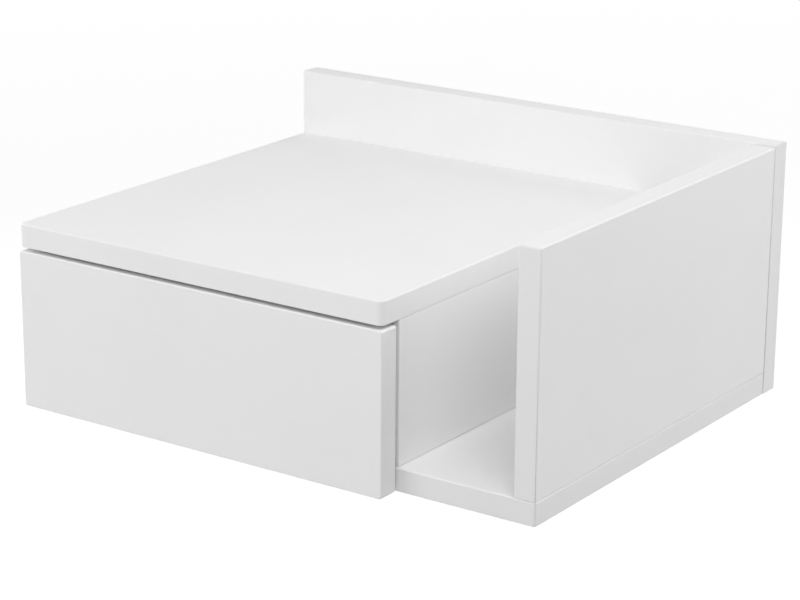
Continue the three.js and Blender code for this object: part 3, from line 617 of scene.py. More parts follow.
def board_grid(low, high, thin, eases, corner, steps, butts=None):
    """A board with rounded edges, whose radii at its two faces are the eases. Its outline is a rectangle
    with round corners. From face to face the outline swells by a quarter circle, runs straight and draws
    in again: at an angle a of a quarter circle it lies ease * (1 - sin a) inside the board's sides and
    ease * (1 - cos a) from the face. A side that butts against another board draws in by its own, smaller
    ease, and so do the corners at its ends."""
    axis = AXES.index(thin)
    flat = [other for other in range(3) if other != axis]
    low, high = np.array(low), np.array(high)
    middle, half = (low + high) / 2, (high - low) / 2
    butts = butts or {}
    names = [sign + AXES[part] for sign in "+-" for part in flat]
    following = [1, 2, 3, 0]
    corners = np.array([butts.get(name, corner) for name in names])
    corners = np.minimum(corners, corners[following])
    angles = np.linspace(0, math.pi / 2, steps + 1)
    shrink, rise = 1 - np.sin(angles), 1 - np.cos(angles)
    draws = [np.outer(shrink, [butts.get(name, ease) for name in names]) for ease in eases]
    insets = np.concatenate([draws[0], draws[1][::-1]])
    rounds = np.maximum(corners - np.maximum(insets, insets[:, following]), 0)
    reach = half[flat * 2]
    ways = np.array([[1, 0], [0, 1], [-1, 0], [0, -1]])
    first = (reach - insets - rounds)[..., None] * ways
    second = (reach[following] - insets[:, following] - rounds)[..., None] * ways[following]
    turns = angles[None, :] + np.arange(4)[:, None] * math.pi / 2
    arcs = np.stack([np.cos(turns), np.sin(turns)], -1)
    outline = (first + second)[:, :, None, :] + rounds[:, :, None, None] * arcs
    grid = np.empty((len(insets), 4 * len(angles), 3))
    grid[:, :, flat] = middle[flat] + outline.reshape(len(insets), -1, 2)
    levels = low[axis] + eases[0] * rise, high[axis] - eases[1] * rise[::-1]
    grid[:, :, axis] = np.concatenate(levels)[:, None]
    return grid


def slab_grid(low, high):
    """A plain block between two corners in any order, as two rings of four points."""
    low, high = np.minimum(low, high), np.maximum(low, high)
    ring = low[:2] + np.array([[0, 0], [1, 0], [1, 1], [0, 1]]) * (high - low)[:2]
    return np.stack([np.column_stack([ring, np.full(4, z)]) for z in (low[2], high[2])])


def turned_grid(radii, heights, sides, at, direction):
    """Rings about an axis that starts at a point and runs in a direction. Row r at angle t lies radii[r,
    t] from the axis and heights[r, t] along it; a row given as one number is a circle."""
    radii = np.broadcast_to(np.array(radii, float).reshape(len(radii), -1), (len(radii), sides))
    heights = np.broadcast_to(np.array(heights, float).reshape(len(heights), -1), (len(heights), sides))
    turns = np.linspace(0, 2 * math.pi, sides, endpoint=False)
    local = np.stack([radii * np.cos(turns), radii * np.sin(turns), heights], -1)
    turn = np.array(Vector((0, 0, 1)).rotation_difference(Vector(direction)).to_matrix())
    return local @ turn.T + np.array(at)


def seat_of(node, direction):
    """Where a turned piece starts, how long it is and how far it reaches from its axis, from its node's
    box."""
    low, high = (np.array(corner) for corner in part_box(node))
    axis = int(np.argmax(np.abs(direction)))
    start = (low + high) / 2
    start[axis] = low[axis] if direction[axis] > 0 else high[axis]
    across = max((high - low)[other] for other in range(3) if other != axis)
    return start, (high - low)[axis], across / 2


def middle_of(node, axis):
    """The middle of a node's box along an axis."""
    low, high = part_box(node)
    return (low[AXES.index(axis)] + high[AXES.index(axis)]) / 2


def polygon_radius(turns, corners, apothem):
    """A regular polygon's radius at each angle: its apothem over the cosine of the angle to the middle of
    the nearest side."""
    step = 2 * math.pi / corners
    return apothem / np.cos((turns + step / 2) % step - step / 2)


def cross_radius(turns, reach, half_width):
    """A four-armed cross's radius at each angle: the arm's end or the arm's side, whichever comes
    first."""
    folded = np.abs((turns + math.pi / 4) % (math.pi / 2) - math.pi / 4)
    return np.minimum(reach / np.cos(folded), half_width / np.maximum(np.sin(folded), 1e-6))


def thread_rows(start, end, pitch, core, crest, sides, steps=8, steepness=3.2):
    """A screw thread: at height h and angle t the radius swells from core to crest as a sharp ridge round
    the places where h / pitch - t / full turn is half way between two whole numbers. Away from there it
    falls by the steepness times the distance in pitches. It fades in and out over one pitch."""
    rows = max(2, int(round((end - start) / pitch * steps)) + 1)
    heights = np.linspace(start, end, rows)[:, None]
    phase = (heights / pitch - np.arange(sides)[None, :] / sides) % 1.0
    ridge = np.clip(1 - np.abs(phase - 0.5) * steepness, 0, 1)
    fade = np.clip(np.minimum(heights - start, end - heights) / pitch, 0, 1)
    return core + (crest - core) * ridge * fade, np.broadcast_to(heights, phase.shape)


# The two kinds of wood screw. Their sizes are shares of the head's radius, apart from the core, which is a
# share of the crest, and the pitch
CONNECTOR = dict(crest=0.68, core=0.62, cone=0.68, neck=1.6, tip=0.6, depth=0.62, pitch=3.0 * MM)
SMALL = dict(crest=0.47, core=0.64, cone=0.56, neck=0.12, tip=0.7, depth=0.5, pitch=1.4 * MM)
BACK_SCREWS = ("top_left", "top_right", "bottom_left", "bottom_right", "side_lower", "side_upper")
CONNECTOR_NODES = {
    **{f"bottom_screw_{place}_{row}": UP for place in ("left", "divider", "right") for row in ROWS},
    **{f"back_screw_{place}": TO_FRONT for place in BACK_SCREWS},
}
SMALL_NODES = {
    **{f"cabinet_runner_screw_{side}_{row}": OUTWARD[side] for side in SIDES for row in ROWS},
    **{f"drawer_runner_screw_{side}_{row}": INWARD[side] for side in SIDES for row in ROWS},
    **{f"hanger_screw_{side}_{row}": TO_FRONT for side in SIDES for row in ("upper", "lower")},
}
SCREW_KINDS = ((CONNECTOR_NODES, CONNECTOR), (SMALL_NODES, SMALL))

# Half the reach and half the width of a small screw's cross, and the crease angle that keeps a thread crisp
CROSS_REACH, CROSS_HALF_WIDTH = 1.9 * MM, 0.45 * MM
THREAD_CREASE = 28


def stacked(rows, sides):
    """Rings given as (radius, height), each a number or one per side, as two arrays."""
    ring = np.ones(sides)
    return [np.stack([row[part] * ring for row in rows]) for part in (0, 1)]


def screw_grid(node, direction, kind, recess, sides):
    """A countersunk screw: the floor and walls of its recess, the flat face, the cone, a plain neck, the
    thread and the point, from the middle of the head to the tip."""
    start, whole, head = seat_of(node, direction)
    crest, cone, depth = head * kind["crest"], head * kind["cone"], head * kind["depth"]
    core, neck_end, tip = crest * kind["core"], cone + head * kind["neck"], whole - head * kind["tip"]
    head_rows = [
        (0, depth * 1.12),
        (recess * 0.72, depth),
        (recess * 0.94, 0.12 * depth),
        (recess * 1.05, 0),
        (head * 0.93, 0),
        (head * 0.985, 0.02 * cone),
        (head, 0.07 * cone),
        (head, 0.13 * cone),
        (crest * 0.97, cone),
        (crest * 0.97, neck_end * 0.98),
    ]
    tip_rows = [(core, tip + 0.1 * (whole - tip)), (core * 0.5, tip + 0.7 * (whole - tip)), (0, whole)]
    parts = [
        stacked(head_rows, sides),
        thread_rows(neck_end, tip, kind["pitch"], core, crest, sides),
        stacked(tip_rows, sides),
    ]
    radii, heights = (np.concatenate([part[index] for part in parts]) for index in (0, 1))
    return turned_grid(radii, heights, sides, start, direction)


def hole_mesh(node, direction, kind, clearance, finish):
    """The hole that a screw leaves: its outline grown by the clearance and open at the mouth."""
    start, whole, head = seat_of(node, direction)
    mouth, shank = head + clearance, head * kind["crest"] + clearance
    radii = [mouth, mouth, shank, shank]
    heights = [-OVER, 0, kind["cone"] * head, whole + clearance]
    return mesh_of("hole", [turned_grid(radii, heights, HOLE_SIDES, start, direction)], [finish])


def boxes_meet(first, second):
    """Whether two nodes' boxes share any room."""
    (low, high), (other_low, other_high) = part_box(first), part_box(second)
    return all(low[axis] < other_high[axis] and other_low[axis] < high[axis] for axis in range(3))


def screw_holes(node, clearance, finish):
    """Cutters for the screws that reach into a node."""
    return [
        hole_mesh(name, direction, kind, clearance, finish)
        for nodes, kind in SCREW_KINDS
        for name, direction in nodes.items()
        if boxes_meet(name, node)
    ]


CAMS = {
    f"{panel}_{row}": way for panel, way in (("left", TO_LEFT), ("divider", TO_RIGHT)) for row in ROWS
}

# A cam bolt's radii as shares of its collar's, and the lengths of its collar, neck and head
BOLT = dict(thread=0.8, core=0.6, pin=0.65, neck=0.425, head=0.775)
BOLT_COLLAR, BOLT_NECK, BOLT_HEAD = 1.0 * MM, 4.0 * MM, 3.0 * MM
BOLT_PITCH, BOLT_POINT = 2.0 * MM, 0.9 * MM


def cam_holes(node, clearance, finish):
    """Cutters for the cam locks that sit in a node and for the bolts that reach into it."""
    cutters = []
    for place, direction in CAMS.items():
        if boxes_meet(f"cam_lock_{place}", node):
            start, whole, radius = seat_of(f"cam_lock_{place}", direction)
            rings = [radius + clearance] * 2, [-OVER, whole + clearance]
            grid = turned_grid(*rings, CAM_SIDES, start, direction)
            cutters.append(mesh_of("cam_hole", [grid], [finish]))
        if boxes_meet(f"cam_bolt_{place}", node):
            cutters.append(bolt_hole(place, clearance, finish))
    return cutters


def bolt_hole(place, clearance, finish):
    """The bore of a cam bolt, as wide as its collar below the top panel and as its thread inside it."""
    start, whole, collar = seat_of(f"cam_bolt_{place}", DOWN)
    collar_start = start[2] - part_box("top_panel")[0].z
    thread = collar * BOLT["thread"] + clearance
    radii = [thread, thread, collar + clearance, collar + clearance]
    heights = [-clearance, collar_start - clearance, collar_start - clearance, whole + clearance]
    return mesh_of("bolt_hole", [turned_grid(radii, heights, HOLE_SIDES, start, DOWN)], [finish])


def bolt_grid(place, sides):
    """A cam bolt from the point of its wood thread down to the head that the cam draws on: thread,
    collar, pin, neck and a rounded head."""
    start, whole, collar = seat_of(f"cam_bolt_{place}", DOWN)
    collar_start = start[2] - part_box("top_panel")[0].z
    thread, core, pin, neck, head = (collar * share for share in BOLT.values())
    neck_start, head_start = whole - BOLT_HEAD - BOLT_NECK, whole - BOLT_HEAD
    round_off, nick, taper = 0.5 * MM, 0.2 * MM, 0.4 * MM
    collar_end = collar_start + BOLT_COLLAR
    point_rows = [(0, 0), (core * 0.8, 0.1 * MM), (core, BOLT_POINT)]
    plain_rows = [
        (core, collar_start - 0.3 * MM),
        (core, collar_start),
        (collar * 0.95, collar_start),
        (collar, collar_start + nick),
        (collar, collar_end - nick),
        (collar * 0.95, collar_end),
        (pin, collar_end),
        (pin, neck_start - taper),
        (neck, neck_start),
        (neck, head_start),
        (head * 0.8, head_start + nick),
        (head, head_start + round_off),
        (head, whole - round_off),
        (head * 0.9, whole - 0.15 * MM),
        (head * 0.7, whole),
        (0, whole),
    ]
    parts = [
        stacked(point_rows, sides),
        thread_rows(BOLT_POINT, collar_start - taper, BOLT_PITCH, core, thread, sides),
        stacked(plain_rows, sides),
    ]
    radii, heights = (np.concatenate([part[index] for part in parts]) for index in (0, 1))
    return turned_grid(radii, heights, sides, start, DOWN)


def keyhole_grid(x, slot_radius, entry_radius, drop, y_low, y_high, steps=24):
    """A keyhole through a plate: a half circle above and, a drop below it, most of a larger circle that
    starts and ends where it is as wide as the slot."""
    meeting = math.asin(slot_radius / entry_radius)
    upper = np.linspace(0, math.pi, steps)
    lower = np.linspace(math.pi / 2 + meeting, 2.5 * math.pi - meeting, 2 * steps)
    arcs = [slot_radius * np.stack([np.cos(upper), np.sin(upper)], -1)]
    arcs.append(entry_radius * np.stack([np.cos(lower), np.sin(lower)], -1) - [0, drop])
    outline = np.concatenate(arcs)
    rings = [
        np.column_stack([x + outline[:, 0], np.full(len(outline), y), outline[:, 1]])
        for y in (y_low, y_high)
    ]
    return np.stack(rings)


def sheet_outline(corners, half, bend, edge, draw, steps=8, end_steps=3, least_edge=0.01 * MM):
    """The outline of bent sheet. Its middle line runs straight between corners and turns at each on an
    arc of the bend's radius plus half the thickness. Both faces lie half the thickness, less the draw,
    off that line, and the two ends are rounded to the edge radius."""
    corners = np.array(corners, float)
    half, edge = half - draw, max(edge - draw, least_edge)
    ways = np.diff(corners, axis=0)
    ways /= np.linalg.norm(ways, axis=1)[:, None]
    radius = bend + half + draw
    points, headings = [corners[:1] + ways[:1] * (draw + edge)], [ways[:1]]
    for corner, before, after in zip(corners[1:-1], ways[:-1], ways[1:]):
        turn = math.atan2(before[0] * after[1] - before[1] * after[0], before @ after)
        start = corner - before * radius * math.tan(abs(turn) / 2)
        centre = start + math.copysign(radius, turn) * np.array([-before[1], before[0]])
        angles = np.linspace(0, turn, steps + 1)
        spin = np.array([[np.cos(angles), -np.sin(angles)], [np.sin(angles), np.cos(angles)]])
        points.append(centre + np.einsum("ijn,j->ni", spin, start - centre))
        headings.append(np.einsum("ijn,j->ni", spin, before))
    points.append(corners[-1:] - ways[-1:] * (draw + edge))
    headings.append(ways[-1:])
    points, headings = np.concatenate(points), np.concatenate(headings)
    normals = np.stack([-headings[:, 1], headings[:, 0]], -1)
    arc = np.linspace(0, math.pi / 2, end_steps + 1)[:, None]

    def cap(point, heading, normal):
        """The rounded end of the sheet at a point of its middle line."""
        rise = half - edge + edge * np.cos(arc)
        reach = edge * np.sin(arc)
        upper = point + normal * rise + heading * reach
        lower = point - normal * rise + heading * reach
        return np.concatenate([upper, lower[::-1]])

    end = cap(points[-1], headings[-1], normals[-1])
    start = cap(points[0], -headings[0], -normals[0])
    upper, lower = points[1:-1] + half * normals[1:-1], (points - half * normals)[-2:0:-1]
    return np.concatenate([upper, end, lower, start])


def rail_grid(corners, fittings, y_front, y_rear, steps=4):
    """A bent section carried along Y. At both ends it draws in by a quarter circle of the steel's edge
    radius."""
    edge = fittings.steel_edge
    angles = np.linspace(0, math.pi / 2, steps + 1)
    draws, rise = edge * (1 - np.sin(angles)), edge * (1 - np.cos(angles))
    depths = np.concatenate([y_front + rise, y_rear - rise[::-1]])
    rings = []
    for draw, y in zip(np.concatenate([draws, draws[::-1]]), depths):
        ring = sheet_outline(corners, fittings.steel / 2, fittings.bend, edge, draw)
        rings.append(np.column_stack([ring[:, 0], np.full(len(ring), y), ring[:, 1]]))
    return np.stack(rings)


def rail_section(node, side, fittings, turned_up):
    """The corners of a rail's middle line, from the lip of its lower flange round to the edge of its
    upper one, as (x, z), taken from its node's box. The web of a cabinet rail is on the side's outer face
    and that of a drawer rail is where its flanges part, given as turned_up."""
    low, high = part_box(node)
    half = fittings.steel / 2
    outer, inner = (low.x, high.x) if side == "left" else (high.x, low.x)
    hand = 1 if side == "left" else -1
    web = outer + hand * (half + turned_up)
    lower_edge, upper_edge = (inner, inner) if not turned_up else (inner, outer)
    lower, upper = low.z + half, high.z - half
    return [(lower_edge, lower), (web, lower), (web, upper), (upper_edge, upper)]


# Where the lamps of the stage's settings hang: azimuth and elevation in degrees
LAMPS = {"left": (-90, 15), "front": (-30, 15), "high": (40, 48), "rear": (130, 32)}


class NIGHTSTAND_OT_stage(bpy.types.Operator):
    """Make the floor, the lamps, the background and the camera"""

    bl_idname = "nightstand.stage"
    bl_label = "Stage"

    def execute(self, context):
        stage = context.scene.nightstand_stage
        low, high = cad_box
        middle = (low + high) / 2
        add_floor(low.z - stage.floor_drop, tuple(stage.floor), stage.floor_lift, stage.floor_dip)
        for name, (azimuth, elevation) in LAMPS.items():
            add_lamp(name, middle, azimuth, elevation, getattr(stage, name))
        add_background(context.scene, stage.ambient)
        add_camera(context.scene, stage.lens)
        context.scene.view_settings.view_transform = "Standard"
        return {"FINISHED"}


def seen(made):
    """1 where the camera looks at the stage, also in a gloss or through clear plastic, and 0 for its
    light."""
    camera, gloss, clear = (
        made.node("ShaderNodeLightPath", output=f"Is {ray} Ray")
        for ray in ("Camera", "Glossy", "Transmission")
    )
    return camera.most(gloss).most(clear)


def add_floor(height, base, lift, dip, reach=6.0, thick=10 * MM):
    """A wide plain floor that keeps the object's soft shadow. The camera sees it lifted to white: the
    lift is smallest under the object, where the lamps are nearest, and its dip there halves with each
    metre away."""
    grid = slab_grid((-reach, -reach, height - thick), (reach, reach, height))
    floor = object_of(mesh_of("floor", [grid]))
    made = Finish("pale_floor")
    x, y, _ = made.axes()
    away = (x**2 + y**2) ** 0.5
    plain = made.node("ShaderNodeBsdfDiffuse", values={"Color": (*base, 1)})
    white = lift - dip * 0.5**away
    glow = made.node("ShaderNodeEmission", values={"Color": (1, 1, 1, 1), "Strength": white})
    lifted = made.node("ShaderNodeAddShader", values={0: plain, 1: glow})
    made.node("ShaderNodeOutputMaterial", values={"Surface": made.mix_shaders(seen(made), plain, lifted)})
    floor.data.materials.append(made.owner)


def add_lamp(name, target, azimuth, elevation, watts, distance=1.5, size=1.1):
    """A square soft lamp that looks at the target from an azimuth and an elevation in degrees. Azimuth 0
    is in front of the object and 90 is at its right."""
    turn, rise = math.radians(azimuth), math.radians(elevation)
    away = Vector((math.sin(turn) * math.cos(rise), -math.cos(turn) * math.cos(rise), math.sin(rise)))
    lamp = bpy.data.objects.new(name, bpy.data.lights.new(name, "AREA"))
    lamp.data.shape = "SQUARE"
    lamp.data.size = size
    lamp.data.energy = watts
    lamp.location = target + away * distance
    lamp.rotation_euler = away.to_track_quat("Z", "Y").to_euler()
    bpy.context.scene.collection.objects.link(lamp)


def add_background(scene, ambient):
    """Even light from all round, and plain white where the camera, a gloss or clear plastic looks past
    the object."""
    scene.world = bpy.data.worlds.new("studio")
    made = Recipe(scene.world)
    lit, white = (
        made.node("ShaderNodeBackground", values={"Color": (1, 1, 1, 1), "Strength": strength})
        for strength in (ambient, 1.0)
    )
    made.node("ShaderNodeOutputWorld", values={"Surface": made.mix_shaders(seen(made), lit, white)})


# The camera's place and how it is turned, fitted to the corners seen in the photograph
CAMERA_PLACE = (0.885, -1.443, 0.417)
CAMERA_YAW, CAMERA_PITCH, CAMERA_ROLL = (math.radians(angle) for angle in (34.61, -17.41, 0.47))


def add_camera(scene, lens):
    """The camera at the photograph's place. From level and looking into the wall it rolls, then pitches,
    and then turns to the left by its yaw."""
    camera = bpy.data.objects.new("camera", bpy.data.cameras.new("camera"))
    camera.data.lens = lens
    camera.data.sensor_width = 36
    turns = ((CAMERA_YAW, "Z"), (math.pi / 2 + CAMERA_PITCH, "X"), (CAMERA_ROLL, "Z"))
    matrix = Matrix.Translation(CAMERA_PLACE)
    for angle, axis in turns:
        matrix = matrix @ Matrix.Rotation(angle, 4, axis)
    camera.matrix_world = matrix
    scene.collection.objects.link(camera)
    scene.camera = camera


def shared_finish(name, maker, *details):
    """The finish of a name, made when it is first asked for."""
    return bpy.data.materials.get(name) or maker(*details)


def eased_board(context, node, thin, edges, finish, cutters, suffix, butts=None, let_out=None):
    """A board in its node's place with its edges eased and its holes and grooves cut. Some of its sides
    may be let out, or taken in where the length is negative."""
    low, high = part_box(node)
    for side, reach in (let_out or {}).items():
        corner, sign = (high, 1) if side[0] == "+" else (low, -1)
        corner[AXES.index(side[1])] += sign * reach
    grid = board_grid(low, high, thin, *edges, context.scene.nightstand_boards.edge_steps, butts)
    made = object_of(mesh_of(f"{node}_{suffix}", [grid], [finish]))
    if cutters:
        work(made, cutters)
    return place_piece(made, node)


# The boards whose narrow edges get a painted shade, darker than their faces
PAINTED_SHADE_BOARDS = ("back_panel", "bottom_panel", "left_side_panel", "right_side_panel", "divider_panel")


def lacquered_board(context, node, thin, edges, cutters, butts=None, let_out=None):
    """An eased board in a lacquer of its own, with painted shade on the narrow edges of some boards. Where
    its rear edge butts, that edge is raw board colour, partly bare and partly painted shade in the crack.
    """
    finishes = context.scene.nightstand_finishes
    painted_edge_shade = finishes.painted_edge_shade if node in PAINTED_SHADE_BOARDS else 1
    bare_shaded_rear = "+y" in (butts or {})
    finish = lacquer_finish(f"lacquer_{node}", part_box(node), finishes, thin, painted_edge_shade, bare_shaded_rear)
    return eased_board(context, node, thin, edges, finish, cutters, "lacquered", butts, let_out)


class NIGHTSTAND_OT_carcass(bpy.types.Operator):
    """Make the lacquered boards of the carcass and drill them for what joins them"""

    bl_idname = "nightstand.carcass"
    bl_label = "Carcass"

    def execute(self, context):
        boards = context.scene.nightstand_boards
        clearance = context.scene.nightstand_fittings.clearance
        raw = shared_finish("raw_board", raw_board_finish, context.scene.nightstand_finishes)
        carcass_edges = [boards.carcass_ease] * 2, boards.carcass_corner
        top_edges = (boards.top_lower_ease, boards.top_ease), boards.top_corner
        behind = {"+y": -boards.back_crack}
        upright = {"-y": -boards.front_crack, "+z": boards.tight, **behind}
        shapes = {
            "back_panel": ("y", carcass_edges, ["+x"], {}),
            "bottom_panel": ("z", carcass_edges, ["+y"], behind),
            "left_side_panel": ("x", carcass_edges, ["-y", "+y", "-z", "+z"], upright),
            "divider_panel": ("x", carcass_edges, ["-y", "+y", "-z", "+z"], upright),
            "right_side_panel": ("x", carcass_edges, ["+y", "-z"], behind),
            "top_panel": ("z", top_edges, ["+y"], {"+y": boards.tight}),
        }
        for node, (thin, edges, butts, let_out) in shapes.items():
            cutters = screw_holes(node, clearance, raw) + cam_holes(node, clearance, raw)
            if node == "back_panel":
                cutters += hanger_recesses(raw)
            butts = {side: boards.butt_ease for side in butts}
            lacquered_board(context, node, thin, edges, cutters, butts, let_out)
        return {"FINISHED"}


# A keyhole's two radii and the drop between them, and how much wider and how deep the pocket behind it is
KEY_SLOT, KEY_ENTRY, KEY_DROP = 2.5 * MM, 5.2 * MM, 11 * MM
KEY_MARGIN, KEY_POCKET = 0.8 * MM, 8 * MM

# A hanger plate's corners and edges, the gaps round it and behind it, and the facets of a rounded corner
PLATE_CORNER, PLATE_EASE = 4 * MM, 0.25 * MM
PLATE_GAP, PLATE_SEAM = 0.25 * MM, 0.2 * MM
CORNER_STEPS = 8


def hanger_recesses(raw):
    """The shallow seat of each hanger plate and the deeper pocket behind its keyhole, as cutters."""
    cutters = []
    radius = KEY_ENTRY + KEY_MARGIN
    for side in SIDES:
        node = f"hanger_plate_{side}"
        low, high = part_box(node)
        x = middle_of(node, "x")
        seat = (
            (low.x - PLATE_GAP, low.y - PLATE_SEAM, low.z - PLATE_GAP),
            (high.x + PLATE_GAP, OVER, high.z + PLATE_GAP),
        )
        pocket = (x - radius, low.y - KEY_POCKET, -KEY_DROP - radius), (x + radius, OVER, radius)
        for name, corners, corner in (("seat", seat, PLATE_CORNER + PLATE_GAP), ("pocket", pocket, radius)):
            grid = board_grid(*corners, "y", (0, 0), corner, CORNER_STEPS)
            cutters.append(mesh_of(name, [grid], [raw]))
    return cutters


# How far the housings of the drawer's back run on below it, and the gap at the shoulders of the tongues
HOUSING_DROP, SHOULDER_GAP = 3.25 * MM, 0.2 * MM


class NIGHTSTAND_OT_drawer(bpy.types.Operator):
    """Make the drawer's lacquered front and its box of faced boards with a hardboard bottom"""

    bl_idname = "nightstand.drawer"
    bl_label = "Drawer"

    def execute(self, context):
        boards = context.scene.nightstand_boards
        finishes = context.scene.nightstand_finishes
        gap = context.scene.nightstand_fittings.clearance
        raw = shared_finish("raw_board", raw_board_finish, finishes)
        groove, housing = bottom_groove_grid(gap), back_housing_grid(gap)
        for side in SIDES:
            node = f"drawer_side_{side}"
            grids = groove, housing, shoulder_grid(side, boards.tongue)
            cuts = [mesh_of("cut", [grid], [raw]) for grid in grids]
            self.box_board(context, node, "x", cuts + screw_holes(node, gap, raw))
        self.box_board(context, "drawer_back", "y", [])
        thin_edges = [boards.hardboard_ease] * 2, boards.box_corner
        finish = hardboard_finish(finishes)
        eased_board(context, "drawer_bottom", "z", thin_edges, finish, [], "pressed")
        grids = groove, *(tongue_groove_grid(side, boards.tongue, gap) for side in SIDES)
        cuts = [mesh_of("groove", [grid], [raw]) for grid in grids]
        front_edges = [boards.front_ease] * 2, boards.front_corner
        overlap = {"+x": boards.front_overlap, "+z": boards.front_rise}
        lacquered_board(context, "drawer_front", "y", front_edges, cuts, let_out=overlap)
        return {"FINISHED"}

    def box_board(self, context, node, thin, cutters):
        """A faced board of the drawer's box."""
        boards = context.scene.nightstand_boards
        edges = [boards.box_ease] * 2, boards.box_corner
        finish = melamine_finish(f"melamine_{node}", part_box(node), context.scene.nightstand_finishes)
        eased_board(context, node, thin, edges, finish, cutters, "faced")


def bottom_groove_grid(gap):
    """The groove that the drawer's bottom lies in: the bottom grown by the gap, and open at the rear."""
    low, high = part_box("drawer_bottom")
    grown = Vector((gap,) * 3)
    return slab_grid(low - grown, high + grown + Vector((0, OVER, 0)))


def back_housing_grid(gap):
    """The housing that the drawer's back stands in: the back grown by the gap, open above and longer
    below."""
    low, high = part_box("drawer_back")
    grown = Vector((gap,) * 3)
    return slab_grid(low - grown - Vector((0, 0, HOUSING_DROP)), high + grown + Vector((0, 0, OVER)))


def tongue_groove_grid(side, tongue, gap):
    """The groove in the drawer's front that takes the tongue of a side: the tongue grown by the gap, and
    open at the rear."""
    low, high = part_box(f"drawer_side_{side}")
    grown = Vector((gap,) * 3)
    x = high.x - tongue if side == "left" else low.x
    tongue_high = Vector((x + tongue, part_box("drawer_front")[1].y + OVER, high.z))
    return slab_grid(Vector((x, low.y, low.z)) - grown, tongue_high + grown)


def shoulder_grid(side, tongue):
    """What is cut off a drawer side round its tongue: all that lies ahead of the shoulder, outside the
    tongue's face."""
    low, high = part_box(f"drawer_side_{side}")
    beyond, face = (low.x - OVER, high.x - tongue) if side == "left" else (high.x + OVER, low.x + tongue)
    shoulder_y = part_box("drawer_front")[1].y + SHOULDER_GAP
    return slab_grid((beyond, low.y - OVER, low.z - OVER), (face, shoulder_y, high.z + OVER))


# The spare fixing holes of a cabinet rail, and how deep a hole is cut for a pin, which is through the steel
SPARE_HOLES, PIN_HOLE_DEPTH = 5, 3 * MM


class NIGHTSTAND_OT_runners(bpy.types.Operator):
    """Bend the coated steel rails and pierce them"""

    bl_idname = "nightstand.runners"
    bl_label = "Runners"

    def execute(self, context):
        fittings = context.scene.nightstand_fittings
        coat = shared_finish("powder_coat", powder_coat_finish, context.scene.nightstand_finishes)
        for side in SIDES:
            self.cabinet_rail(side, fittings, coat)
            self.drawer_rail(side, fittings, coat)
        return {"FINISHED"}

    def rail(self, node, section, fittings, coat, cutters, welds):
        """A rail of a section, in its node's place."""
        low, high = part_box(node)
        made = object_of(mesh_of(f"{node}_coated", [rail_grid(section, fittings, low.y, high.y)], [coat]))
        work(made, cutters, welds)
        place_piece(made, node)

    def cabinet_rail(self, side, fittings, coat):
        """The rail on the carcass, with its fixing holes and the stop pressed up from its channel."""
        node = f"cabinet_runner_{side}"
        section = rail_section(node, side, fittings, 0)
        cutters = screw_holes(node, fittings.clearance, coat)
        cutters.append(pin_hole(f"front_roller_pin_{side}", INWARD[side], fittings, coat))
        cutters += spare_holes(side, section, fittings, coat)
        self.rail(node, section, fittings, coat, cutters, [stop_lug(side, section, fittings, coat)])

    def drawer_rail(self, side, fittings, coat):
        """The rail on the drawer, with its running flange cut away at the rear roller."""
        node = f"drawer_runner_{side}"
        low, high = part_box(node)
        section = rail_section(node, side, fittings, fittings.flange_reach - fittings.steel / 2)
        cutters = screw_holes(node, fittings.clearance, coat)
        cutters.append(pin_hole(f"rear_roller_pin_{side}", OUTWARD[side], fittings, coat))
        cut_front = middle_of(f"rear_roller_pin_{side}", "y") - fittings.cutaway
        hand = INWARD[side][0]
        web_face = section[1][0] - hand * (fittings.steel / 2 + fittings.seam)
        outer = (low.x if side == "left" else high.x) - hand * OVER
        ledge_top = low.z + fittings.steel + fittings.bend + fittings.seam
        cut = slab_grid((outer, cut_front, ledge_top), (web_face, high.y + OVER, high.z + OVER))
        cutters.append(mesh_of("cutaway", [cut], [coat]))
        self.rail(node, section, fittings, coat, cutters, [])


def spare_holes(side, section, fittings, coat, reach=4 * MM):
    """The fixing holes that follow a cabinet rail's front screw at an even pitch, apart from the one that
    the rear screw is in. Each reaches as far to both sides of the web."""
    front_screw, rear_screw = (f"cabinet_runner_screw_{side}_{row}" for row in ROWS)
    x, z = section[1][0] - INWARD[side][0] * reach, middle_of(front_screw, "z")
    rings = [fittings.spare_hole] * 2, [0, 2 * reach]
    holes = []
    for step in range(1, SPARE_HOLES + 1):
        y = middle_of(front_screw, "y") + step * fittings.hole_pitch
        if abs(y - middle_of(rear_screw, "y")) > fittings.spare_hole:
            grid = turned_grid(*rings, SPARE_SIDES, (x, y, z), INWARD[side])
            holes.append(mesh_of("spare", [grid], [coat]))
    return holes


def pin_hole(node, direction, fittings, finish):
    """The countersunk hole that a roller pin is riveted in."""
    start, _, head = seat_of(node, direction)
    gap = fittings.clearance
    radii = [head + gap, head + gap, fittings.pin_radius + gap, fittings.pin_radius + gap]
    heights = [-OVER, 0, fittings.steel, PIN_HOLE_DEPTH]
    return mesh_of("pin_hole", [turned_grid(radii, heights, HOLE_SIDES, start, direction)], [finish])


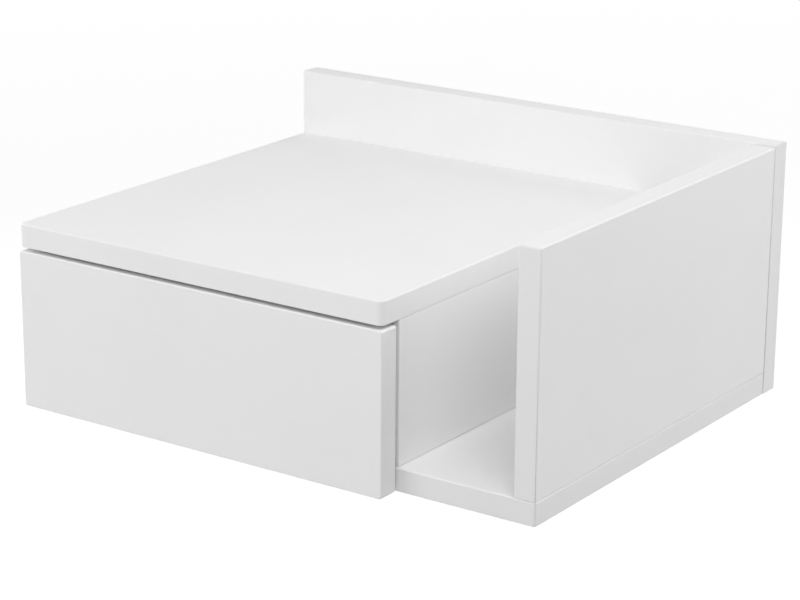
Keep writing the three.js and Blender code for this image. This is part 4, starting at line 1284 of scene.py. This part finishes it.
def stop_lug(side, section, fittings, coat, steps=12, lean_share=0.2):
    """The stop pressed up from a cabinet rail's channel. Along Y its top rises as a half wave from the
    floor to its height and ends in a steep rear face that stops the roller. At its full height each flank
    has leant in by a share of the width."""
    wheel_low, wheel_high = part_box(f"rear_roller_{side}")
    radius = (wheel_high.z - wheel_low.z) / 2
    slide = next(joint for joint in frame["joints"] if joint["name"] == "drawer_slide")
    travel = slide["range_m"][1]
    floor_z = section[0][1] + fittings.steel / 2
    clear = wheel_low.z - floor_z
    above = radius + clear - fittings.stop_height
    reach = math.sqrt(radius**2 - above**2)
    rear = middle_of(f"rear_roller_{side}", "y") - travel - reach - clear
    front = rear - fittings.stop_length
    run = np.linspace(0, 1, steps)
    depths = np.concatenate([front + run * (rear - front), [rear]])
    tops = np.concatenate([(1 - np.cos(run * math.pi)) / 2 * fittings.stop_height, [0]])
    hand = INWARD[side][0]
    near, far = section[1][0] + hand * fittings.steel, section[0][0] - hand * fittings.steel
    base = floor_z - fittings.steel / 2
    rings = []
    for y, top in zip(depths, tops):
        lean = lean_share * abs(far - near) * hand * (top / fittings.stop_height)
        heights = [base, base, floor_z + top, floor_z + top]
        across = [near, far, far - lean, near + lean]
        rings.append(np.column_stack([across, np.full(4, y), heights]))
    return mesh_of("stop", [np.stack(rings)], [coat])


class NIGHTSTAND_OT_rollers(bpy.types.Operator):
    """Mould the rollers and turn their pins"""

    bl_idname = "nightstand.rollers"
    bl_label = "Rollers and pins"

    def execute(self, context):
        fittings = context.scene.nightstand_fittings
        finishes = context.scene.nightstand_finishes
        zinc = shared_finish("zinc_plate", zinc_finish, finishes)
        for side in SIDES:
            for row, way in (("front", INWARD[side]), ("rear", OUTWARD[side])):
                node = f"{row}_roller_{side}"
                nylon = nylon_finish(f"nylon_{node}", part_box(node), finishes)
                grid = roller_grid(node, way, fittings)
                wheel = mesh_of(f"{node}_moulded", [grid], [nylon], closed=True)
                place_piece(object_of(wheel), node)
                pin = f"{row}_roller_pin_{side}"
                turned = mesh_of(f"{pin}_turned", [pin_grid(pin, way, fittings)], [zinc])
                place_piece(object_of(turned), pin)
        return {"FINISHED"}


def roller_grid(node, direction, fittings):
    """A roller turned about its pin: hub, dished face, rim and a crowned tread, with small rounds between
    them. The tread's radius is the full radius less half the crown times the fourth power of how far a
    point is from its middle, from 0 there to 1 at its sides."""
    start, width, radius = seat_of(node, direction)
    bore = fittings.pin_radius + 0.1 * MM
    hub, dish, crown = 4.4 * MM, 1.0 * MM, 0.4 * MM
    rim = radius - 2 * dish
    small = 0.15 * MM
    face = [
        (bore, small),
        (bore + small, 0),
        (hub - small, 0),
        (hub, small),
        (hub + small, dish - small),
        (hub + 2 * small, dish),
        (rim - 2 * small, dish),
        (rim - small, dish - small),
        (rim, small),
        (rim + small, 0),
        (radius - 2.2 * crown, 0),
        (radius - 1.2 * crown, 0.18 * crown),
    ]
    run = np.linspace(-1, 1, 13)
    tread = [(radius - crown * 0.5 * way**4, width / 2 + way * (width / 2 - 0.9 * crown)) for way in run]
    far = [(part, width - along) for part, along in reversed(face)]
    rows = np.array(face + tread + far)
    return turned_grid(rows[:, 0], rows[:, 1], fittings.turned_sides * 2, start, direction)


def pin_grid(node, direction, fittings):
    """A roller pin: a countersunk end riveted in the web, a shank and a low domed head."""
    start, whole, head = seat_of(node, direction)
    shank, thick = fittings.pin_radius, 0.9 * MM
    rows = [
        (0, 0.12 * MM),
        (head * 0.35, 0.12 * MM),
        (head * 0.45, 0),
        (head * 0.95, 0),
        (head, 0.08 * MM),
        (head, 0.15 * MM),
        (shank, fittings.steel),
        (shank, whole - thick),
        (head * 0.97, whole - thick),
        (head, whole - thick * 0.9),
        (head, whole - thick * 0.55),
        (head * 0.93, whole - thick * 0.3),
        (head * 0.7, whole - thick * 0.08),
        (head * 0.4, whole),
        (0, whole),
    ]
    radii, heights = zip(*rows)
    return turned_grid(radii, heights, fittings.turned_sides, start, direction)


class NIGHTSTAND_OT_screws(bpy.types.Operator):
    """Turn the connector screws and the small screws, with their recesses and threads"""

    bl_idname = "nightstand.screws"
    bl_label = "Screws"

    def execute(self, context):
        fittings = context.scene.nightstand_fittings
        zinc = shared_finish("zinc_plate", zinc_finish, context.scene.nightstand_finishes)
        sides = fittings.turned_sides
        turns = np.linspace(0, 2 * math.pi, sides, endpoint=False)
        recesses = (
            polygon_radius(turns, 6, fittings.hex_key / 2),
            cross_radius(turns, CROSS_REACH, CROSS_HALF_WIDTH),
        )
        for (nodes, kind), recess in zip(SCREW_KINDS, recesses):
            for node, direction in nodes.items():
                grid = screw_grid(node, direction, kind, recess, sides)
                screw = object_of(mesh_of(f"{node}_threaded", [grid], [zinc]))
                place_piece(screw, node, THREAD_CREASE)
        return {"FINISHED"}


class NIGHTSTAND_OT_cams(bpy.types.Operator):
    """Make the cam locks and the bolts that they draw down"""

    bl_idname = "nightstand.cams"
    bl_label = "Cam locks and bolts"

    def execute(self, context):
        fittings = context.scene.nightstand_fittings
        zinc = shared_finish("zinc_plate", zinc_finish, context.scene.nightstand_finishes)
        for place, direction in CAMS.items():
            node, bolt = f"cam_lock_{place}", f"cam_bolt_{place}"
            made = object_of(mesh_of(f"{node}_cast", [cam_grid(node, direction)], [zinc]))
            work(made, [bolt_hole(place, fittings.clearance, zinc), *cross_slot(node, direction, zinc)])
            place_piece(made, node)
            made = object_of(mesh_of(f"{bolt}_threaded", [bolt_grid(place, fittings.turned_sides)], [zinc]))
            place_piece(made, bolt, THREAD_CREASE)
        return {"FINISHED"}


def cam_grid(node, direction):
    """A cam lock: a drum with chamfered edges, and a raised ring round its face."""
    start, whole, radius = seat_of(node, direction)
    chamfer, ring, sunk, rear_chamfer = 0.6 * MM, 5.4 * MM, 0.15 * MM, 0.4 * MM
    rows = [
        (0, sunk),
        (ring - 0.2 * MM, sunk),
        (ring, 0),
        (radius - chamfer, 0),
        (radius - chamfer * 0.3, chamfer * 0.3),
        (radius, chamfer),
        (radius, whole - rear_chamfer),
        (radius - rear_chamfer, whole),
        (0, whole),
    ]
    radii, heights = zip(*rows)
    return turned_grid(radii, heights, CAM_SIDES, start, direction)


def cross_slot(node, direction, zinc):
    """The cross that a driver turns a cam by, as two crossed blocks given by half their lengths and
    widths."""
    long, short, depth = 4.5 * MM, 0.8 * MM, 2.6 * MM
    x, y, z = seat_of(node, direction)[0]
    mouth, floor = x - direction[0] * OVER, x + direction[0] * depth
    arms = ((long, short), (short, long))
    grids = [
        slab_grid((mouth, y - half_y, z - half_z), (floor, y + half_y, z + half_z))
        for half_y, half_z in arms
    ]
    return [mesh_of("slot", [grid], [zinc]) for grid in grids]


class NIGHTSTAND_OT_hangers(bpy.types.Operator):
    """Make the keyhole hanger plates in the rear of the back"""

    bl_idname = "nightstand.hangers"
    bl_label = "Hanger plates"

    def execute(self, context):
        fittings = context.scene.nightstand_fittings
        zinc = shared_finish("zinc_plate", zinc_finish, context.scene.nightstand_finishes)
        for side in SIDES:
            node = f"hanger_plate_{side}"
            low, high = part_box(node)
            x = middle_of(node, "x")
            key = keyhole_grid(x, KEY_SLOT, KEY_ENTRY, KEY_DROP, low.y - OVER, high.y + OVER)
            cutters = [mesh_of("keyhole", [key], [zinc]), *screw_holes(node, fittings.clearance, zinc)]
            grid = board_grid(low, high, "y", (PLATE_EASE, PLATE_EASE), PLATE_CORNER, CORNER_STEPS)
            made = object_of(mesh_of(f"{node}_plated", [grid], [zinc]))
            place_piece(work(made, cutters), node)
        return {"FINISHED"}


# A soft pad's skirt as a share of its height and its base as a share of its radius, the rings of its dome,
# and its crease angle
BUMPER_SKIRT, BUMPER_BASE = 0.3, 0.97
BUMPER_STEPS, BUMPER_CREASE = 12, 60


class NIGHTSTAND_OT_bumpers(bpy.types.Operator):
    """Make the soft pads that the drawer front closes on"""

    bl_idname = "nightstand.bumpers"
    bl_label = "Bumpers"

    def execute(self, context):
        fittings = context.scene.nightstand_fittings
        silicone = shared_finish("silicone", silicone_finish, context.scene.nightstand_finishes)
        for side in SIDES:
            node = f"bumper_{side}"
            grid = bumper_grid(node, fittings.turned_sides)
            pad = object_of(mesh_of(f"{node}_soft", [grid], [silicone]))
            place_piece(pad, node, BUMPER_CREASE)
        return {"FINISHED"}


def bumper_grid(node, sides):
    """A soft pad: a flat base, a short straight skirt and a dome that rises as a quarter of an
    ellipse."""
    start, whole, radius = seat_of(node, TO_FRONT)
    angles = np.linspace(0, math.pi / 2, BUMPER_STEPS)
    skirt = BUMPER_SKIRT * whole
    radii = np.concatenate([[0, radius * BUMPER_BASE], radius * np.cos(angles)])
    heights = np.concatenate([[0, 0], skirt + (whole - skirt) * np.sin(angles)])
    return turned_grid(radii, heights, sides, start, TO_FRONT)


OPERATORS = (
    NIGHTSTAND_OT_stage,
    NIGHTSTAND_OT_carcass,
    NIGHTSTAND_OT_drawer,
    NIGHTSTAND_OT_runners,
    NIGHTSTAND_OT_rollers,
    NIGHTSTAND_OT_screws,
    NIGHTSTAND_OT_cams,
    NIGHTSTAND_OT_hangers,
    NIGHTSTAND_OT_bumpers,
)


class NIGHTSTAND_PT_pieces(bpy.types.Panel):
    """The pieces of the nightstand and their sizes and colours"""

    bl_idname = "NIGHTSTAND_PT_pieces"
    bl_label = "Nightstand"
    bl_space_type = "VIEW_3D"
    bl_region_type = "UI"
    bl_category = "Nightstand"

    def draw(self, context):
        for operator in OPERATORS:
            self.layout.operator(operator.bl_idname)
        for group_name, group in SETTINGS.items():
            column = self.layout.column()
            for setting in group.__annotations__:
                column.prop(getattr(context.scene, group_name), setting)


def register():
    """Adds the settings to the scene, and the operators and the panel to Blender."""
    for group_name, group in SETTINGS.items():
        bpy.utils.register_class(group)
        setattr(bpy.types.Scene, group_name, PointerProperty(type=group))
    for made_class in (*OPERATORS, NIGHTSTAND_PT_pieces):
        bpy.utils.register_class(made_class)


def unregister():
    """Takes out what register() added."""
    for made_class in reversed((*OPERATORS, NIGHTSTAND_PT_pieces)):
        bpy.utils.unregister_class(made_class)
    for group_name, group in SETTINGS.items():
        delattr(bpy.types.Scene, group_name)
        bpy.utils.unregister_class(group)


def main():
    """Builds the stage and every piece."""
    register()
    for operator in OPERATORS:
        family, name = operator.bl_idname.split(".")
        getattr(getattr(bpy.ops, family), name)()


if __name__ == "__main__":
    main()
